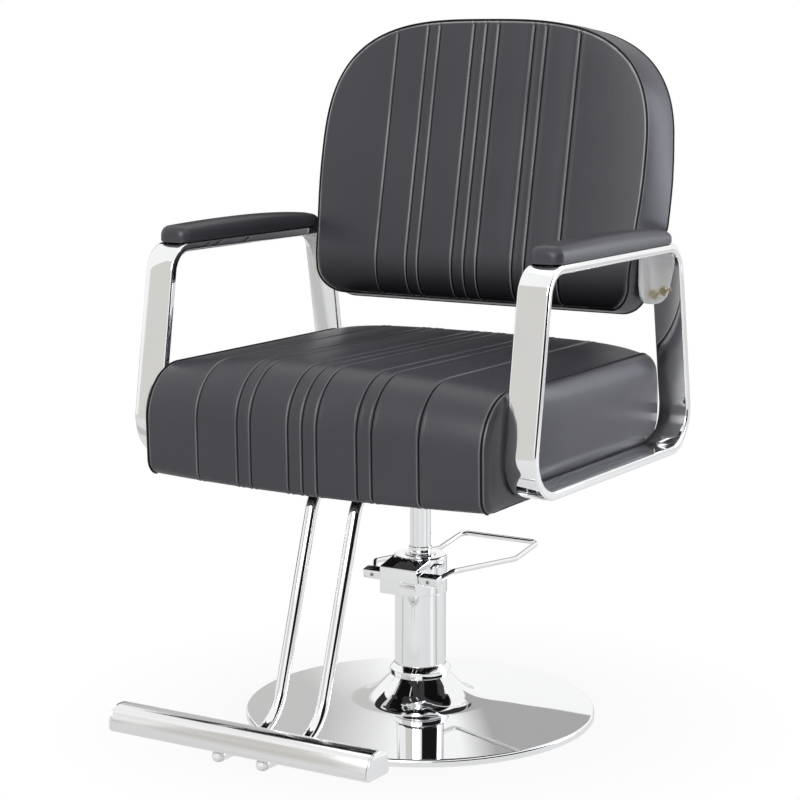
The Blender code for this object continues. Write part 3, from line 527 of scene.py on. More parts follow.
def slab(outline, low, high, edge, steps):
    outline = np.array(outline)
    outward = outwardOf(outline)
    turns = np.linspace(0, math.pi / 2, steps + 1)
    rims = [(edge * (1 - math.sin(a)), low + edge * (1 - math.cos(a))) for a in turns]
    rims += [(edge * (1 - math.sin(a)), high - edge * (1 - math.cos(a))) for a in reversed(turns)]
    count = len(outline)
    layers = [np.column_stack([outline - outward * inset, np.full(count, level)]) for inset, level in rims]
    faces = gridFaces(len(rims), count, 0, False, True) + endFaces(len(rims), count)
    return np.array(layers).reshape(-1, 3), faces


def tubeAlong(path, radius, upright, ring, closed=False):
    path, upright = np.array(path, float), np.array(upright, float)
    if closed:
        along = np.roll(path, -1, 0) - np.roll(path, 1, 0)
    else:
        along = np.gradient(path, axis=0)
    along /= np.linalg.norm(along, axis=1)[:, None]
    normal = upright - along * (along @ upright)[:, None]
    normal /= np.linalg.norm(normal, axis=1)[:, None]
    other = np.cross(along, normal)
    turn = np.linspace(0, 2 * math.pi, ring, endpoint=False)[None, :, None]
    points = path[:, None] + radius * (np.cos(turn) * normal[:, None] + np.sin(turn) * other[:, None])
    faces = gridFaces(len(path), ring, 0, closed, True)
    if not closed:
        faces += endFaces(len(path), ring)
    return points.reshape(-1, 3), faces


basePart = {
    "radius": 0.250, "rimHeight": 0.0115, "rimLift": 0.0018, "rimRound": 0.0042, "wall": 0.0022,
    "flareRadius": 0.120, "flareHeight": 0.0220, "neckRadius": 0.0428, "neckHeight": 0.0600,
    "coneFoot": 0.0770, "coneRound": 0.075, "bore": 0.0368, "steps": 192,
    "collarRadius": 0.0440, "collarHeight": 0.0084, "collarSlope": 0.0094,
    "collarRounds": [0.0008, 0.0016, 0.0012, 0.0003],
}


def addBase():
    part = basePart
    bore, wall, neck = part["bore"], part["wall"], part["neckHeight"]

    def disc(radius):
        fall = (radius - part["flareRadius"]) / (part["radius"] - part["flareRadius"])
        return part["flareHeight"] + (part["rimHeight"] - part["flareHeight"]) * fall

    foot, inside = disc(part["coneFoot"]), part["radius"] - wall
    rim = [(part["neckRadius"], neck), (part["coneFoot"], foot), (part["radius"], part["rimHeight"]),
           (part["radius"], part["rimLift"])]
    profile = fillet(rim, [0, part["coneRound"], part["rimRound"], 0], 24, False)
    profile += [(inside, part["rimLift"]), (inside, disc(inside) - wall), (part["coneFoot"], foot - wall),
                (part["neckRadius"], neck - wall), (bore, neck - wall), (bore, neck)]
    addShape("baseDome", turnProfile(profile, part["steps"]), "chrome", "base", ["base_dome"])

    seat = neck + seatGap
    shoulder = seat + part["collarHeight"]
    collar = fillet([(bore, shoulder + part["collarSlope"]), (part["collarRadius"], shoulder),
                     (part["collarRadius"], seat), (bore, seat)], part["collarRounds"])
    addShape("baseCollar", turnProfile(collar, 96), "chrome", "base", ["base_collar"])


pumpPart = {
    "columnRadius": 0.0365, "columnWall": 0.0030, "headRadius": 0.0382, "headBottom": 0.1810,
    "headTop": 0.2344, "headCeiling": 0.2222, "sealSeat": 0.0205,
    "headRounds": [0.0003, 0.0010, 0.0022, 0.0003, 0.0003, 0.0003],
    "boxHalf": 0.0300, "boxFront": -0.0625, "boxBottom": 0.1865, "boxTop": 0.2255, "boxEdge": 0.0016,
    "boxFall": 0.37, "boxSunk": 0.0008,
    "glandBore": 0.0153, "glandWide": 0.0168, "glandStep": 0.0007, "glandRim": 0.0220, "glandHeight": 0.0118,
    "glandWall": 0.0015, "glandRounds": [0.0006, 0.0003, 0.0002, 0.0006, 0.0006, 0.0002, 0.0002, 0.0006],
    "ramRadius": 0.0150, "ramEdge": 0.001,
}


def addPump():
    part = pumpPart
    low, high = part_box("pump_column")
    outer, inner = part["columnRadius"], part["columnRadius"] - part["columnWall"]
    tube = [(outer, high.z), (outer, low.z), (inner, low.z), (inner, high.z)]
    addShape("pumpColumn", turnProfile(tube, 128), "chrome", "base", ["pump_column"])

    bore, radius, seat = basePart["bore"], part["headRadius"], part["sealSeat"]
    foot, top, ceiling = part["headBottom"], part["headTop"], part["headCeiling"]
    head = fillet([(bore, foot), (radius, foot), (radius, top), (seat, top), (seat, ceiling),
                   (bore, ceiling)], part["headRounds"])
    addShape("pumpHead", turnProfile(head, 128), "chrome", "base", ["pump_head"])

    hold = radius - part["boxSunk"]        # the box grows out of the casting
    turn = math.asin(part["boxHalf"] / hold)
    outline = [(hold * math.sin(a), -hold * math.cos(a)) for a in np.linspace(-turn, turn, 17)]
    edge = part["boxEdge"]
    for way, start in ((1, 0), (-1, -math.pi / 2)):
        x, y = way * (part["boxHalf"] - edge), part["boxFront"] + edge
        outline += [(x + edge * math.cos(start - a), y + edge * math.sin(start - a))
                    for a in np.linspace(0, math.pi / 2, 5)]
    points, faces = slab(outline, part["boxBottom"], part["boxTop"], edge, 4)
    upper = points[:, 2] > (part["boxBottom"] + part["boxTop"]) / 2
    rise = (points[upper, 1] - part["boxFront"]) * part["boxFall"]
    points[upper, 2] += np.minimum(rise, top - part["boxTop"])
    addShape("pumpBox", (points, faces), "chrome", "base")

    base, wide, rim, bore = top + seatGap, part["glandWide"], part["glandRim"], part["glandBore"]
    crest, shelf, step = base + part["glandHeight"], base + part["glandHeight"] / 2, base + part["glandWall"]
    narrow = wide - part["glandStep"]
    gland = fillet([(wide, crest), (wide, shelf), (narrow, shelf), (narrow, step), (rim, step), (rim, base),
                    (bore, base), (bore, crest)], part["glandRounds"], 3)
    addShape("glandRing", turnProfile(gland, 96), "chrome", "base", ["gland_ring"])

    low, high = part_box("ram")
    radius, edge = part["ramRadius"], part["ramEdge"]
    rod = [(0, high.z), (radius - edge, high.z), (radius, high.z - edge), (radius, low.z), (0, low.z)]
    addShape("ramRod", turnProfile(rod, 96, False), "chrome", "seat", ["ram"])


pedalPart = {
    "axis": (0.0, -0.0500, 0.2115), "rod": 0.0040, "inner": 0.0306, "outer": 0.0606, "deep": 0.0078,
    "high": 0.0068, "blockEdge": 0.0014, "blockLean": math.radians(12),
    "leg": [(0.0536, -0.0037, 0.0), (0.0536, 0.01248, 0.0), (0.0640, 0.0312, 0.0085),
            (0.0650, 0.2160, -0.0105), (0.0650, 0.2870, 0.0)],
    "bends": [0, 0.010, 0.015, 0.040, 0.012],
    "screw": 0.0027,         # radius, and the profile in shares of it and in metres
    "screwProfile": [(0, 0.0002), (0.45, 0.0002), (0.55, 0.0011), (0.9, 0.0011), (1, 0.0007), (1, -0.0012),
                     (0, -0.0012)],
}


def addPedal():
    part = pedalPart
    axis, deep, high, edge = np.array(part["axis"]), part["deep"], part["high"], part["blockEdge"]
    corners = part["leg"] + [(-x, y, z) for x, y, z in reversed(part["leg"])]
    path = np.array(fillet(corners, part["bends"] + part["bends"][::-1], 10, False)) + axis
    addShape("pedalLoop", tubeAlong(path, part["rod"], (0, 0, 1), 22), "chrome", "pedal", ["pedal_loop"])
    cos, sin = math.cos(part["blockLean"]), math.sin(part["blockLean"])
    lean = np.array([[1, 0, 0], [0, cos, sin], [0, -sin, cos]])
    for side, way in sides.items():
        first, last = sorted((way * part["inner"], way * part["outer"]))
        points, faces = slab(fillet(rectangle(first, last, -deep, deep), edge, 4), -high, high, edge, 4)
        block = (points @ lean + axis, faces)
        addShape("pedalBlock_" + side, block, "chrome", "pedal", ["pedal_hub_" + side])
        profile = [(part["screw"] * share, level) for share, level in part["screwProfile"]]
        points, faces = turnProfile(profile, 20, False)
        spot = np.array([way * (part["inner"] + part["outer"]) / 2, -deep, 0])
        points = (np.column_stack([points[:, 0], -points[:, 2], points[:, 1]]) + spot) @ lean + axis
        addShape("setScrew_" + side, (points, faces), "steel", "pedal", (), 30)


footrest = {
    "tubeRadius": 0.0085, "tubeOut": 0.0340, "bends": [0, 0.040, 0.070, 0],
    "route": [(-0.0550, 0.3669), (-0.2186, 0.3669), (-0.3200, 0.0568), (-0.4470, 0.0568)],
    "plugIn": 0.004, "plugNeck": 0.85, "plugLess": 0.0002,
    "barMiddle": -0.4370, "barBottom": 0.0656, "barHalfDepth": 0.0250, "barHeight": 0.0330, "barHalf": 0.1960,
    "barFoot": 0.12, "barPowers": (0.75, 0.85), "barBevel": 0.0028, "barBevelRound": 0.0018,
    "barEdge": 0.0006, "capThickness": 0.0030, "capEdge": 0.0010,
}


def barOutline():
    part = footrest
    half, tall, foot = part["barHalfDepth"], part["barHeight"], part["barFoot"]
    outPower, upPower = part["barPowers"]
    outline = []
    for turn in np.linspace(0, math.pi, 49):
        out = math.copysign(abs(math.cos(turn)) ** outPower, math.cos(turn)) * half
        outline.append((out, tall * (foot + (1 - foot) * math.sin(turn) ** upPower)))
    flat, bend = half - part["barBevel"], part["barBevelRound"]
    under = [(-half, foot * tall), (-flat, 0), (flat, 0), (half, foot * tall)]
    return outline + fillet(under, [0, bend, bend, 0], 4, False)[1:-1]


def acrossBar(points):       # flat outline and height become depth, rise and length along the bar
    return np.column_stack([points[:, 2], footrest["barMiddle"] + points[:, 0],
                            footrest["barBottom"] + points[:, 1]])


def addFootrest():
    part = footrest
    endY, endZ = part["route"][-1]
    for side, way in sides.items():
        out = way * part["tubeOut"]
        path = fillet([(out, y, z) for y, z in part["route"]], part["bends"], 16, False)
        tube = tubeAlong(path, part["tubeRadius"], (1, 0, 0), 28)
        addShape("footrestTube_" + side, tube, "chrome", "seat", ["footrest_tube_" + side])
        plug = "footrest_plug_" + side
        nose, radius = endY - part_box(plug)[0].y, part["tubeRadius"] - part["plugLess"]
        neck = radius * part["plugNeck"]
        profile = [(0, -part["plugIn"]), (neck, -part["plugIn"]), (neck, 0), (radius, 0)]
        profile += [(radius * math.cos(a), nose * math.sin(a)) for a in np.linspace(0, math.pi / 2, 12)[1:]]
        points, faces = turnProfile(profile, 28, False)
        points = np.column_stack([points[:, 0] + out, endY - points[:, 2] - seatGap, points[:, 1] + endZ])
        addShape("tubeEnd_" + side, (points, faces), "satin", "seat", [plug])
    outline = barOutline()
    points, faces = slab(outline, -part["barHalf"], part["barHalf"], part["barEdge"], 2)
    addShape("footrestBar", (acrossBar(points), faces), "brushed", "seat", ["footrest_bar"])
    near = part["barHalf"] + seatGap
    for side, way in sides.items():
        low, high = sorted((way * near, way * (near + part["capThickness"])))
        points, faces = slab(outline, low, high, part["capEdge"], 3)
        cap = (acrossBar(points), faces)
        addShape("footrestCap_" + side, cap, "chrome", "seat", ["footrest_cap_" + side])


armPart = {
    "corners": [(-0.2598, 0.3800), (-0.2128, 0.6785), (0.1870, 0.6785), (0.2385, 0.3800)],
    "bends": [0.060, 0.042, 0.042, 0.060], "inner": 0.2673, "outer": 0.3128, "thickness": 0.0120,
    "edge": 0.0030,
    # room for the bars in the seat's padding: depth, half width, slope beside it, softness, reach
    "room": 0.0012, "roomHalf": 0.0075, "roomSlope": 0.9, "roomSoft": 0.0015, "roomReach": 0.05,
}


def armOutline(steps):
    return np.array(fillet(armPart["corners"], armPart["bends"], steps))


def addArms():
    part = armPart
    outline = armOutline(22)
    inward = -outwardOf(outline)
    section = fillet(rectangle(part["inner"], part["outer"], 0.0, part["thickness"]), part["edge"], 6)
    faces = gridFaces(len(outline), len(section), 0, True, True)
    for side, way in sides.items():
        loops = [[(way * x, *(spot + lean * depth)) for x, depth in section]
                 for spot, lean in zip(outline, inward)]
        addShape("armLoop_" + side, (loops, faces), "chrome", "seat", ["arm_frame_" + side])


weldBead = {"spot": (0.3052, 0.1720, 0.6590), "size": (0.0036, 0.0030, 0.0026)}


def addBeads():
    bead = [(math.cos(a), math.sin(a)) for a in np.linspace(-math.pi / 2, math.pi / 2, 9)]
    points, faces = turnProfile(bead, 14, False)
    for side, way in sides.items():
        spots = points * weldBead["size"] + np.array(weldBead["spot"]) * (way, 1, 1)
        addShape("weldBead_" + side, (spots, faces), "bead", "seat", ())


addBase()
addBeads()
addPump()
addPedal()
addFootrest()
addArms()
print("chromed pieces made")


# padded pieces: a coarse skin is blown up with cloth, then drawn finely with its seams
softSkin = {
    "frames": 20, "quality": 6, "pressure": 4.0, "stretch": 16.0, "bend": 0.4, "mass": 0.3,
    "cell": 0.012, "fineCell": 0.005,
    "seamDepth": 0.0024, "seamPlace": 0.0006, "seamWidth": 0.0015,
    "lipHeight": 0.0006, "lipPlace": 0.0040, "lipWidth": 0.0018,
    # painted highlight and painted shade beside a seam and an edge: place and width
    "paintedSeamLight": (-0.0012, 0.0008), "paintedSeamShade": (0.0007, 0.0010),
    "paintedEdgeLight": (0.0026, 0.0009), "paintedEdgeShade": (0, 0.0013),
    "besideSeam": (0.0005, 0.0010, 0.0015, 0.0021, 0.0029, 0.0040, 0.0058, 0.0085),
    "besideRim": (0.0008, 0.0014, 0.0020, 0.0026, 0.0032, 0.0040),
    "piping": 0.0013, "ease": 0.6, "sharp": 70,
}


def coons(bottom, top, left, right, s, t):
    s, t = np.asarray(s)[None, :, None], np.asarray(t)[:, None, None]
    flat = (1 - s) * (1 - t) * bottom[0] + s * (1 - t) * bottom[-1] + (1 - s) * t * top[0] + s * t * top[-1]
    return (1 - t) * bottom[None] + t * top[None] + (1 - s) * left[:, None] + s * right[:, None] - flat


def cubicAlong(knots, values, wanted):
    slope = np.gradient(values, knots, axis=0)
    place = np.clip(np.searchsorted(knots, wanted, side="right") - 1, 0, len(knots) - 2)
    shape = (-1,) + (1,) * (values.ndim - 1)
    wide = (knots[place + 1] - knots[place]).reshape(shape)
    t = (wanted - knots[place]).reshape(shape) / wide
    ends = (2 * t ** 3 - 3 * t ** 2 + 1) * values[place] + (3 * t ** 2 - 2 * t ** 3) * values[place + 1]
    return ends + wide * ((t ** 3 - 2 * t ** 2 + t) * slope[place] + (t ** 3 - t ** 2) * slope[place + 1])


def cubicAcross(knots, values, wanted):
    return cubicAlong(knots, values.transpose(1, 0, 2), wanted).transpose(1, 0, 2)


def cubicPanels(breaks, knots, values, wanted):      # across, from seam to seam
    drawn = np.zeros((len(values), len(wanted), 3))
    for low, high in zip(breaks[:-1], breaks[1:]):
        have = (knots > low - 1e-7) & (knots < high + 1e-7)
        need = (wanted > low - 1e-7) & (wanted < high + 1e-7)
        drawn[:, need] = cubicAcross(knots[have], values[:, have], wanted[need])
    return drawn


def coarseColumns(breaks):
    columns = [breaks[0]]
    for low, high in zip(breaks[:-1], breaks[1:]):
        count = max(2, round((high - low) / softSkin["cell"]))
        columns += list(np.linspace(low, high, count + 1)[1:])
    return np.array(columns)


def fineColumns(breaks, extra=()):
    columns = set(np.round(breaks, 7)) | set(np.round(extra, 7))
    for low, high in zip(breaks[:-1], breaks[1:]):
        near = [step for step in softSkin["besideSeam"] if step < 0.45 * (high - low)]
        columns |= {round(low + step, 7) for step in near} | {round(high - step, 7) for step in near}
        count = max(2, round((high - low - 2 * near[-1]) / softSkin["fineCell"]))
        columns |= {round(x, 7) for x in np.linspace(low + near[-1], high - near[-1], count + 1)[1:-1]}
    return np.array(sorted(columns))


def onSeam(columns, seams):
    return np.min(np.abs(columns[:, None] - seams[None]), 1) < 1e-6


def nearestSeam(wide, seams):
    aside = wide[:, None] - seams[None]
    return aside[np.arange(len(wide)), np.argmin(np.abs(aside), 1)]


def bothSides(seams):
    return np.array([-x for x in reversed(seams)] + [0.0] + list(seams))


def runAlong(points):
    return np.concatenate([[0], np.cumsum(np.linalg.norm(np.diff(points, axis=0), axis=1))])


def alongLine(points, shares):
    points = np.array(points)
    run = runAlong(points)
    return np.column_stack([np.interp(shares, run / run[-1], points[:, k]) for k in range(points.shape[1])])


def easedShares(count):
    ease, even = softSkin["ease"], np.linspace(0, 1, count + 1)
    return ease * (0.5 - 0.5 * np.cos(math.pi * even)) + (1 - ease) * even


def rimShares(shares, length):       # more lines beside both ends
    near = np.array(softSkin["besideRim"]) / length
    return np.unique(np.round(np.concatenate([shares, near, 1 - near]), 6))


def patchNormals(patch, middle):
    normal = np.cross(np.gradient(patch, axis=0), np.gradient(patch, axis=1))
    normal /= np.maximum(np.linalg.norm(normal, axis=2), 1e-12)[..., None]
    way = np.sign(np.sum(normal * (patch - np.array(middle)), axis=2))
    return normal * way[..., None]


def joinPatches(patches, middle):
    flat = np.concatenate([patch.reshape(-1, 3) for patch in patches])
    first, back = np.unique(np.round(flat / sameSpot).astype(np.int64), axis=0, return_index=True,
                            return_inverse=True)[1:]
    back = back.ravel()
    points, faces, start = flat[first], [], 0
    for patch in patches:
        for quad in gridFaces(patch.shape[0], patch.shape[1], start):
            ring = list(dict.fromkeys(back[quad].tolist()))
            if len(ring) < 3:
                continue
            corners = points[ring]
            normal = np.cross(corners[1] - corners[0], corners[2] - corners[0])
            facing = np.dot(normal, corners.mean(0) - np.array(middle))
            faces.append(ring if facing > 0 else ring[::-1])
        start += patch.shape[0] * patch.shape[1]
    return points, faces, back


def puffUp(points, faces, sewn, cap):
    mesh = bpy.data.meshes.new("skin")
    mesh.from_pydata(points.tolist(), [], faces)
    skin = bpy.data.objects.new("skin", mesh)
    scene.collection.objects.link(skin)
    skin.vertex_groups.new(name="sewn").add(np.flatnonzero(sewn).tolist(), 1.0, "REPLACE")
    cloth = skin.modifiers.new("cloth", "CLOTH")
    cloth.settings.quality = softSkin["quality"]
    cloth.settings.mass = softSkin["mass"]
    cloth.settings.tension_stiffness = cloth.settings.compression_stiffness = softSkin["stretch"]
    cloth.settings.shear_stiffness = softSkin["stretch"] / 2
    cloth.settings.bending_stiffness = softSkin["bend"]
    cloth.settings.use_pressure = True
    cloth.settings.uniform_pressure_force = softSkin["pressure"]
    cloth.settings.vertex_group_mass = "sewn"
    cloth.settings.effector_weights.gravity = 0.0
    cloth.collision_settings.use_collision = False
    cloth.point_cache.frame_start = 1
    cloth.point_cache.frame_end = softSkin["frames"]
    for number in range(1, softSkin["frames"] + 1):
        scene.frame_set(number)
    blown = np.zeros(len(points) * 3)
    skin.evaluated_get(bpy.context.evaluated_depsgraph_get()).data.vertices.foreach_get("co", blown)
    bpy.data.objects.remove(skin)
    bpy.data.meshes.remove(mesh)
    scene.frame_set(1)
    step = blown.reshape(-1, 3) - points
    reach = np.maximum(np.linalg.norm(step, axis=1), 1e-9)
    print("  cloth moved up to %.1f mm, %.1f mm on average" % (reach.max() * 1000, reach.mean() * 1000))
    return points + step * (cap * np.tanh(reach / cap) / reach)[:, None]


def rimPins(patch, sides=True):
    pins = np.zeros(patch.shape[:2], bool)
    pins[[0, -1]] = True
    if sides:
        pins[:, [0, -1]] = True
    return pins


def puffPatches(patches, pins, middle, cap):
    points, faces, back = joinPatches(patches, middle)
    sewn = np.zeros(len(points), bool)
    sewn[back[np.concatenate([pin.ravel() for pin in pins])]] = True
    moved = puffUp(points, faces, sewn, cap) - points
    spread, start = [], 0
    for patch in patches:
        count = patch.shape[0] * patch.shape[1]
        spread.append(moved[back[start:start + count]].reshape(patch.shape))
        start += count
    return spread


def ridge(place, middle, width):
    return np.exp(-((place - middle) / width) ** 2)


def seamProfile(aside):          # measured from the seam towards +X; the panel on the other side laps over
    soft = softSkin
    dip = -soft["seamDepth"] * ridge(aside, soft["seamPlace"], soft["seamWidth"])
    return dip + soft["lipHeight"] * ridge(np.abs(aside), soft["lipPlace"], soft["lipWidth"])


def paintedSeamShading(aside, lip):
    # painted highlight on the lip beside the seam, painted shade in its crease
    return lip * ridge(aside, *softSkin["paintedSeamLight"]) - ridge(aside, *softSkin["paintedSeamShade"])


def paintedEdgeShading(distance, lip):
    # painted highlight a little way in from an edge, painted shade right at it
    return lip * ridge(distance, *softSkin["paintedEdgeLight"]) - ridge(distance, *softSkin["paintedEdgeShade"])


def closeLoop(patch):
    return np.concatenate([patch, patch[:, :1]], 1)


def ringFace(row, wide):         # a row of a closed patch as one face
    return list(range(row * wide, (row + 1) * wide - 1))


def softPiece(name, patches, marks, stands, extraFaces=()):
    start, faces = 0, list(extraFaces)
    for patch in patches:
        faces += gridFaces(patch.shape[0], patch.shape[1], start)
        start += patch.shape[0] * patch.shape[1]
    points = np.concatenate([patch.reshape(-1, 3) for patch in patches])
    values = np.concatenate([mark.ravel() for mark in marks])
    mesh = buildMesh(name, points, faces, softSkin["sharp"], values)
    addPiece(name, mesh, "leather", "seat", stands)


def addPiping(name, path, upright, closed):
    cord = tubeAlong(path, softSkin["piping"], upright, 10, closed)
    addShape(name, cord, "piping", "seat", ())


seatPart = {
    "half": 0.2586, "front": -0.3060, "rear": 0.2250, "bottom": 0.3756, "top": 0.5190,
    "middle": (0, -0.04, 0.44), "crown": 0.0175, "crownPower": 2.4, "rearCrown": 0.0110, "rearPower": 6,
    "hang": 0.0050, "bow": 0.0130, "rearBow": 0.0100, "tuck": 0.0040,
    "bends": [0.010, 0.085, 0.034, 0.010], "sideBends": [0.012, 0, 0.008, 0],
    # strengths of the painted highlight beside the seams and along the side edges
    "seams": [0.0221, 0.0823, 0.1041, 0.1716], "lip": 0.36, "paintedEdgeLight": 0.42,
    "swell": 0.0050, "sideSwell": 0.3,
    # the sides swell out more behind the front leg of the arm
    "bulge": (0.0070, 0.0160), "bulgeRound": (0.012, 0.024), "bulgeFrom": -0.24, "bulgeLength": 0.14,
    "bulgePower": 2.2,
    "boardSide": 0.2350, "boardFront": -0.2694, "boardRear": 0.2014, "boardTop": 0.3956, "boardStep": 0.0002,
    "tabSpot": 0.1150, "tabHalf": 0.0240, "tabInner": 0.2349, "tabTop": 0.3802,
    "pipingSkip": 7, "pipingOut": 0.0006, "pipingTuck": 0.003,
}


def seatLine(x, shares):
    part = seatPart
    across = min(abs(x) / part["half"], 1.0)
    front, rear = part["front"] + part["bow"] * across ** 2, part["rear"] - part["rearBow"] * across ** 4
    frontTop = part["top"] + part["crown"] * (1 - across ** part["crownPower"])
    rearTop = part["top"] + part["rearCrown"] * (1 - across ** part["rearPower"])
    corners = [(front + part["tuck"], part["bottom"] - part["hang"]), (front, frontTop), (rear, rearTop),
               (rear - part["tuck"], part["bottom"])]
    bends = [middle + more * across ** 2 for middle, more in zip(part["bends"], part["sideBends"])]
    steps = 48
    line = fillet(corners, bends, steps)
    low = steps + 1 + steps // 2         # half way round the two upper bends
    high = low + steps + 1
    runs = (line[:low + 1], line[low:high + 1], line[high:])
    flat = [alongLine(run, share)[min(i, 1):] for i, (run, share) in enumerate(zip(runs, shares))]
    flat = np.concatenate(flat)
    return np.column_stack([np.full(len(flat), x), flat])


def seatRows(shares):
    steps = 39
    middle = seatLine(0.0, [np.linspace(0, 1, steps + 1)] * 3)
    lengths = np.diff(runAlong(middle)[::steps])
    starts = np.concatenate([[0], np.cumsum(lengths)[:2]])
    return np.concatenate([(start + length * share)[min(i, 1):]
                           for i, (start, length, share) in enumerate(zip(starts, lengths, shares))])


def seatEdges(edge, shares):         # front, top and rear of a side panel
    front, along = len(shares[0]), len(shares[1])
    return edge[:front], edge[front - 1:front + along - 1], edge[front + along - 2:][::-1]


def seatSide(edge, shares, way):
    part = seatPart
    left, top, right = seatEdges(edge, shares)
    bottom = edge[0] + (edge[-1] - edge[0]) * shares[1][:, None]
    side = coons(bottom, top, left, right, shares[1], shares[0])
    border = np.concatenate([bottom, left, top, right])[:, 1:]
    near = np.array([np.linalg.norm(row[:, None, 1:] - border[None], axis=-1).min(1) for row in side])
    behind = np.clip((side[..., 1] - part["bulgeFrom"]) / part["bulgeLength"], 0, 1)
    behind = behind ** 2 * (3 - 2 * behind)
    bulge, reach = [low + (high - low) * behind for low, high in (part["bulge"], part["bulgeRound"])]
    room = 1 - np.clip(near / reach, 0, 1)
    side[..., 0] = way * (part["half"] + bulge * np.sqrt(1 - room ** part["bulgePower"]))
    return side


def clearOfArm(points):      # the padding gives way beside the arm's bars
    part = armPart
    line = armOutline(10) - outwardOf(armOutline(10)) * part["thickness"] / 2
    along = np.roll(line, -1, 0) - line
    spot = points[..., 1:].reshape(-1, 1, 2)
    share = np.clip(np.sum((spot - line) * along, -1) / np.sum(along * along, -1), 0, 1)
    away = np.linalg.norm(spot - line - share[..., None] * along, axis=-1).min(1).reshape(points.shape[:-1])
    limit = part["inner"] - part["room"] + part["roomSlope"] * np.maximum(away - part["roomHalf"], 0)
    out, soft = np.abs(points[..., 0]), part["roomSoft"]
    held = -soft * np.log(np.exp(-out / soft) + np.exp(-limit / soft))
    held = np.minimum(np.where(out > limit - 5 * soft, held, out), limit)
    points[..., 0] = np.sign(points[..., 0]) * np.where(away < part["roomReach"], held, out)


def addSeat():
    part = seatPart
    seams = bothSides(part["seams"])
    breaks = np.concatenate([[-part["half"]], seams, [part["half"]]])
    ends = {"left": -1, "right": 0}      # the columns beside the two side panels
    shares = [np.linspace(0, 1, count) for count in (13, 41, 13)]
    columns = coarseColumns(breaks)
    strip = np.stack([seatLine(x, shares) for x in columns], 1)
    coarse = [strip] + [seatSide(strip[:, ends[side]], shares, way) for side, way in sides.items()]
    pins = [rimPins(patch) for patch in coarse]
    pins[0][:, onSeam(columns, breaks)] = True
    moved = puffPatches(coarse, pins, part["middle"], part["swell"])

    fine = [rimShares(easedShares(count), length) for count, length in ((30, 0.15), (100, 0.53), (30, 0.15))]
    step = part["boardStep"]
    wide = fineColumns(breaks, [way * (part["boardSide"] + off) for way in (1, -1) for off in (-step, step)])
    skin = np.stack([seatLine(x, fine) for x in wide], 1)
    skin = skin + cubicAlong(seatRows(shares), cubicPanels(breaks, columns, moved[0], wide), seatRows(fine))
    normal = patchNormals(skin, part["middle"])
    away = nearestSeam(wide, seams)
    rows = np.arange(len(skin))
    fade = np.clip(np.minimum(rows, rows[::-1]) / 3, 0, 1)
    skin = skin + normal * (seamProfile(away)[None] * fade[:, None])[..., None]
    edge = np.abs(part["half"] - np.abs(wide))
    # painted highlight and painted shade beside the seams and along the side edges
    marks = [np.repeat((paintedSeamShading(away, part["lip"]) + paintedEdgeShading(edge, part["paintedEdgeLight"]))[None], len(skin), 0)]

    front, rear = part["boardFront"], part["boardRear"]
    under = np.zeros((len(fine[1]), len(wide), 3))
    under[..., 0] = wide
    under[1, :, 1], under[-2, :, 1] = front - step, rear + step
    under[2:-2, :, 1] = np.linspace(front + step, rear - step, len(under) - 4)[:, None]
    under[..., 2] = part["bottom"]
    under[[0, -1]] = skin[[0, -1]]
    pocket = (np.abs(under[..., 0]) < part["boardSide"]) & (under[..., 1] > front) & (under[..., 1] < rear)
    under[pocket, 2] = part["boardTop"]
    marks.append(np.zeros(under.shape[:2]))
    patches = [skin, under]
    for (side, way), shift in zip(sides.items(), moved[1:]):
        edge = skin[:, ends[side]]
        panel = seatSide(edge, fine, way)
        lift = cubicAlong(shares[0], shift * part["sideSwell"], fine[0])
        panel = panel + cubicAcross(shares[1], lift, fine[1])
        clearOfArm(panel)
        panel[0] = under[:, ends[side]]
        panel[:, 0], panel[-1], panel[:, -1] = seatEdges(edge, fine)
        patches.append(panel)
        # painted highlight and painted shade along the side panel's sewn edge
        rim = np.linalg.norm(panel[:, :, None] - edge[None, None], axis=-1).min(2)
        marks.append(paintedEdgeShading(rim, part["paintedEdgeLight"]))
    for patch in patches[1:]:            # notches for the arms' tabs
        notch = np.abs(np.abs(patch[..., 1]) - part["tabSpot"]) < part["tabHalf"]
        notch &= np.abs(patch[..., 0]) > part["tabInner"]
        patch[notch, 2] = np.maximum(patch[notch, 2], part["tabTop"])
    softPiece("seatCushion", patches, marks, ["seat_cushion"])
    skip = part["pipingSkip"]
    for side, end in ends.items():
        outward = normal[skip:-skip, end]
        path = skin[skip:-skip, end] + outward * part["pipingOut"]
        path[[0, -1]] -= outward[[0, -1]] * part["pipingTuck"]
        addPiping("seatPiping_" + side, path, (1, 0, 0), False)


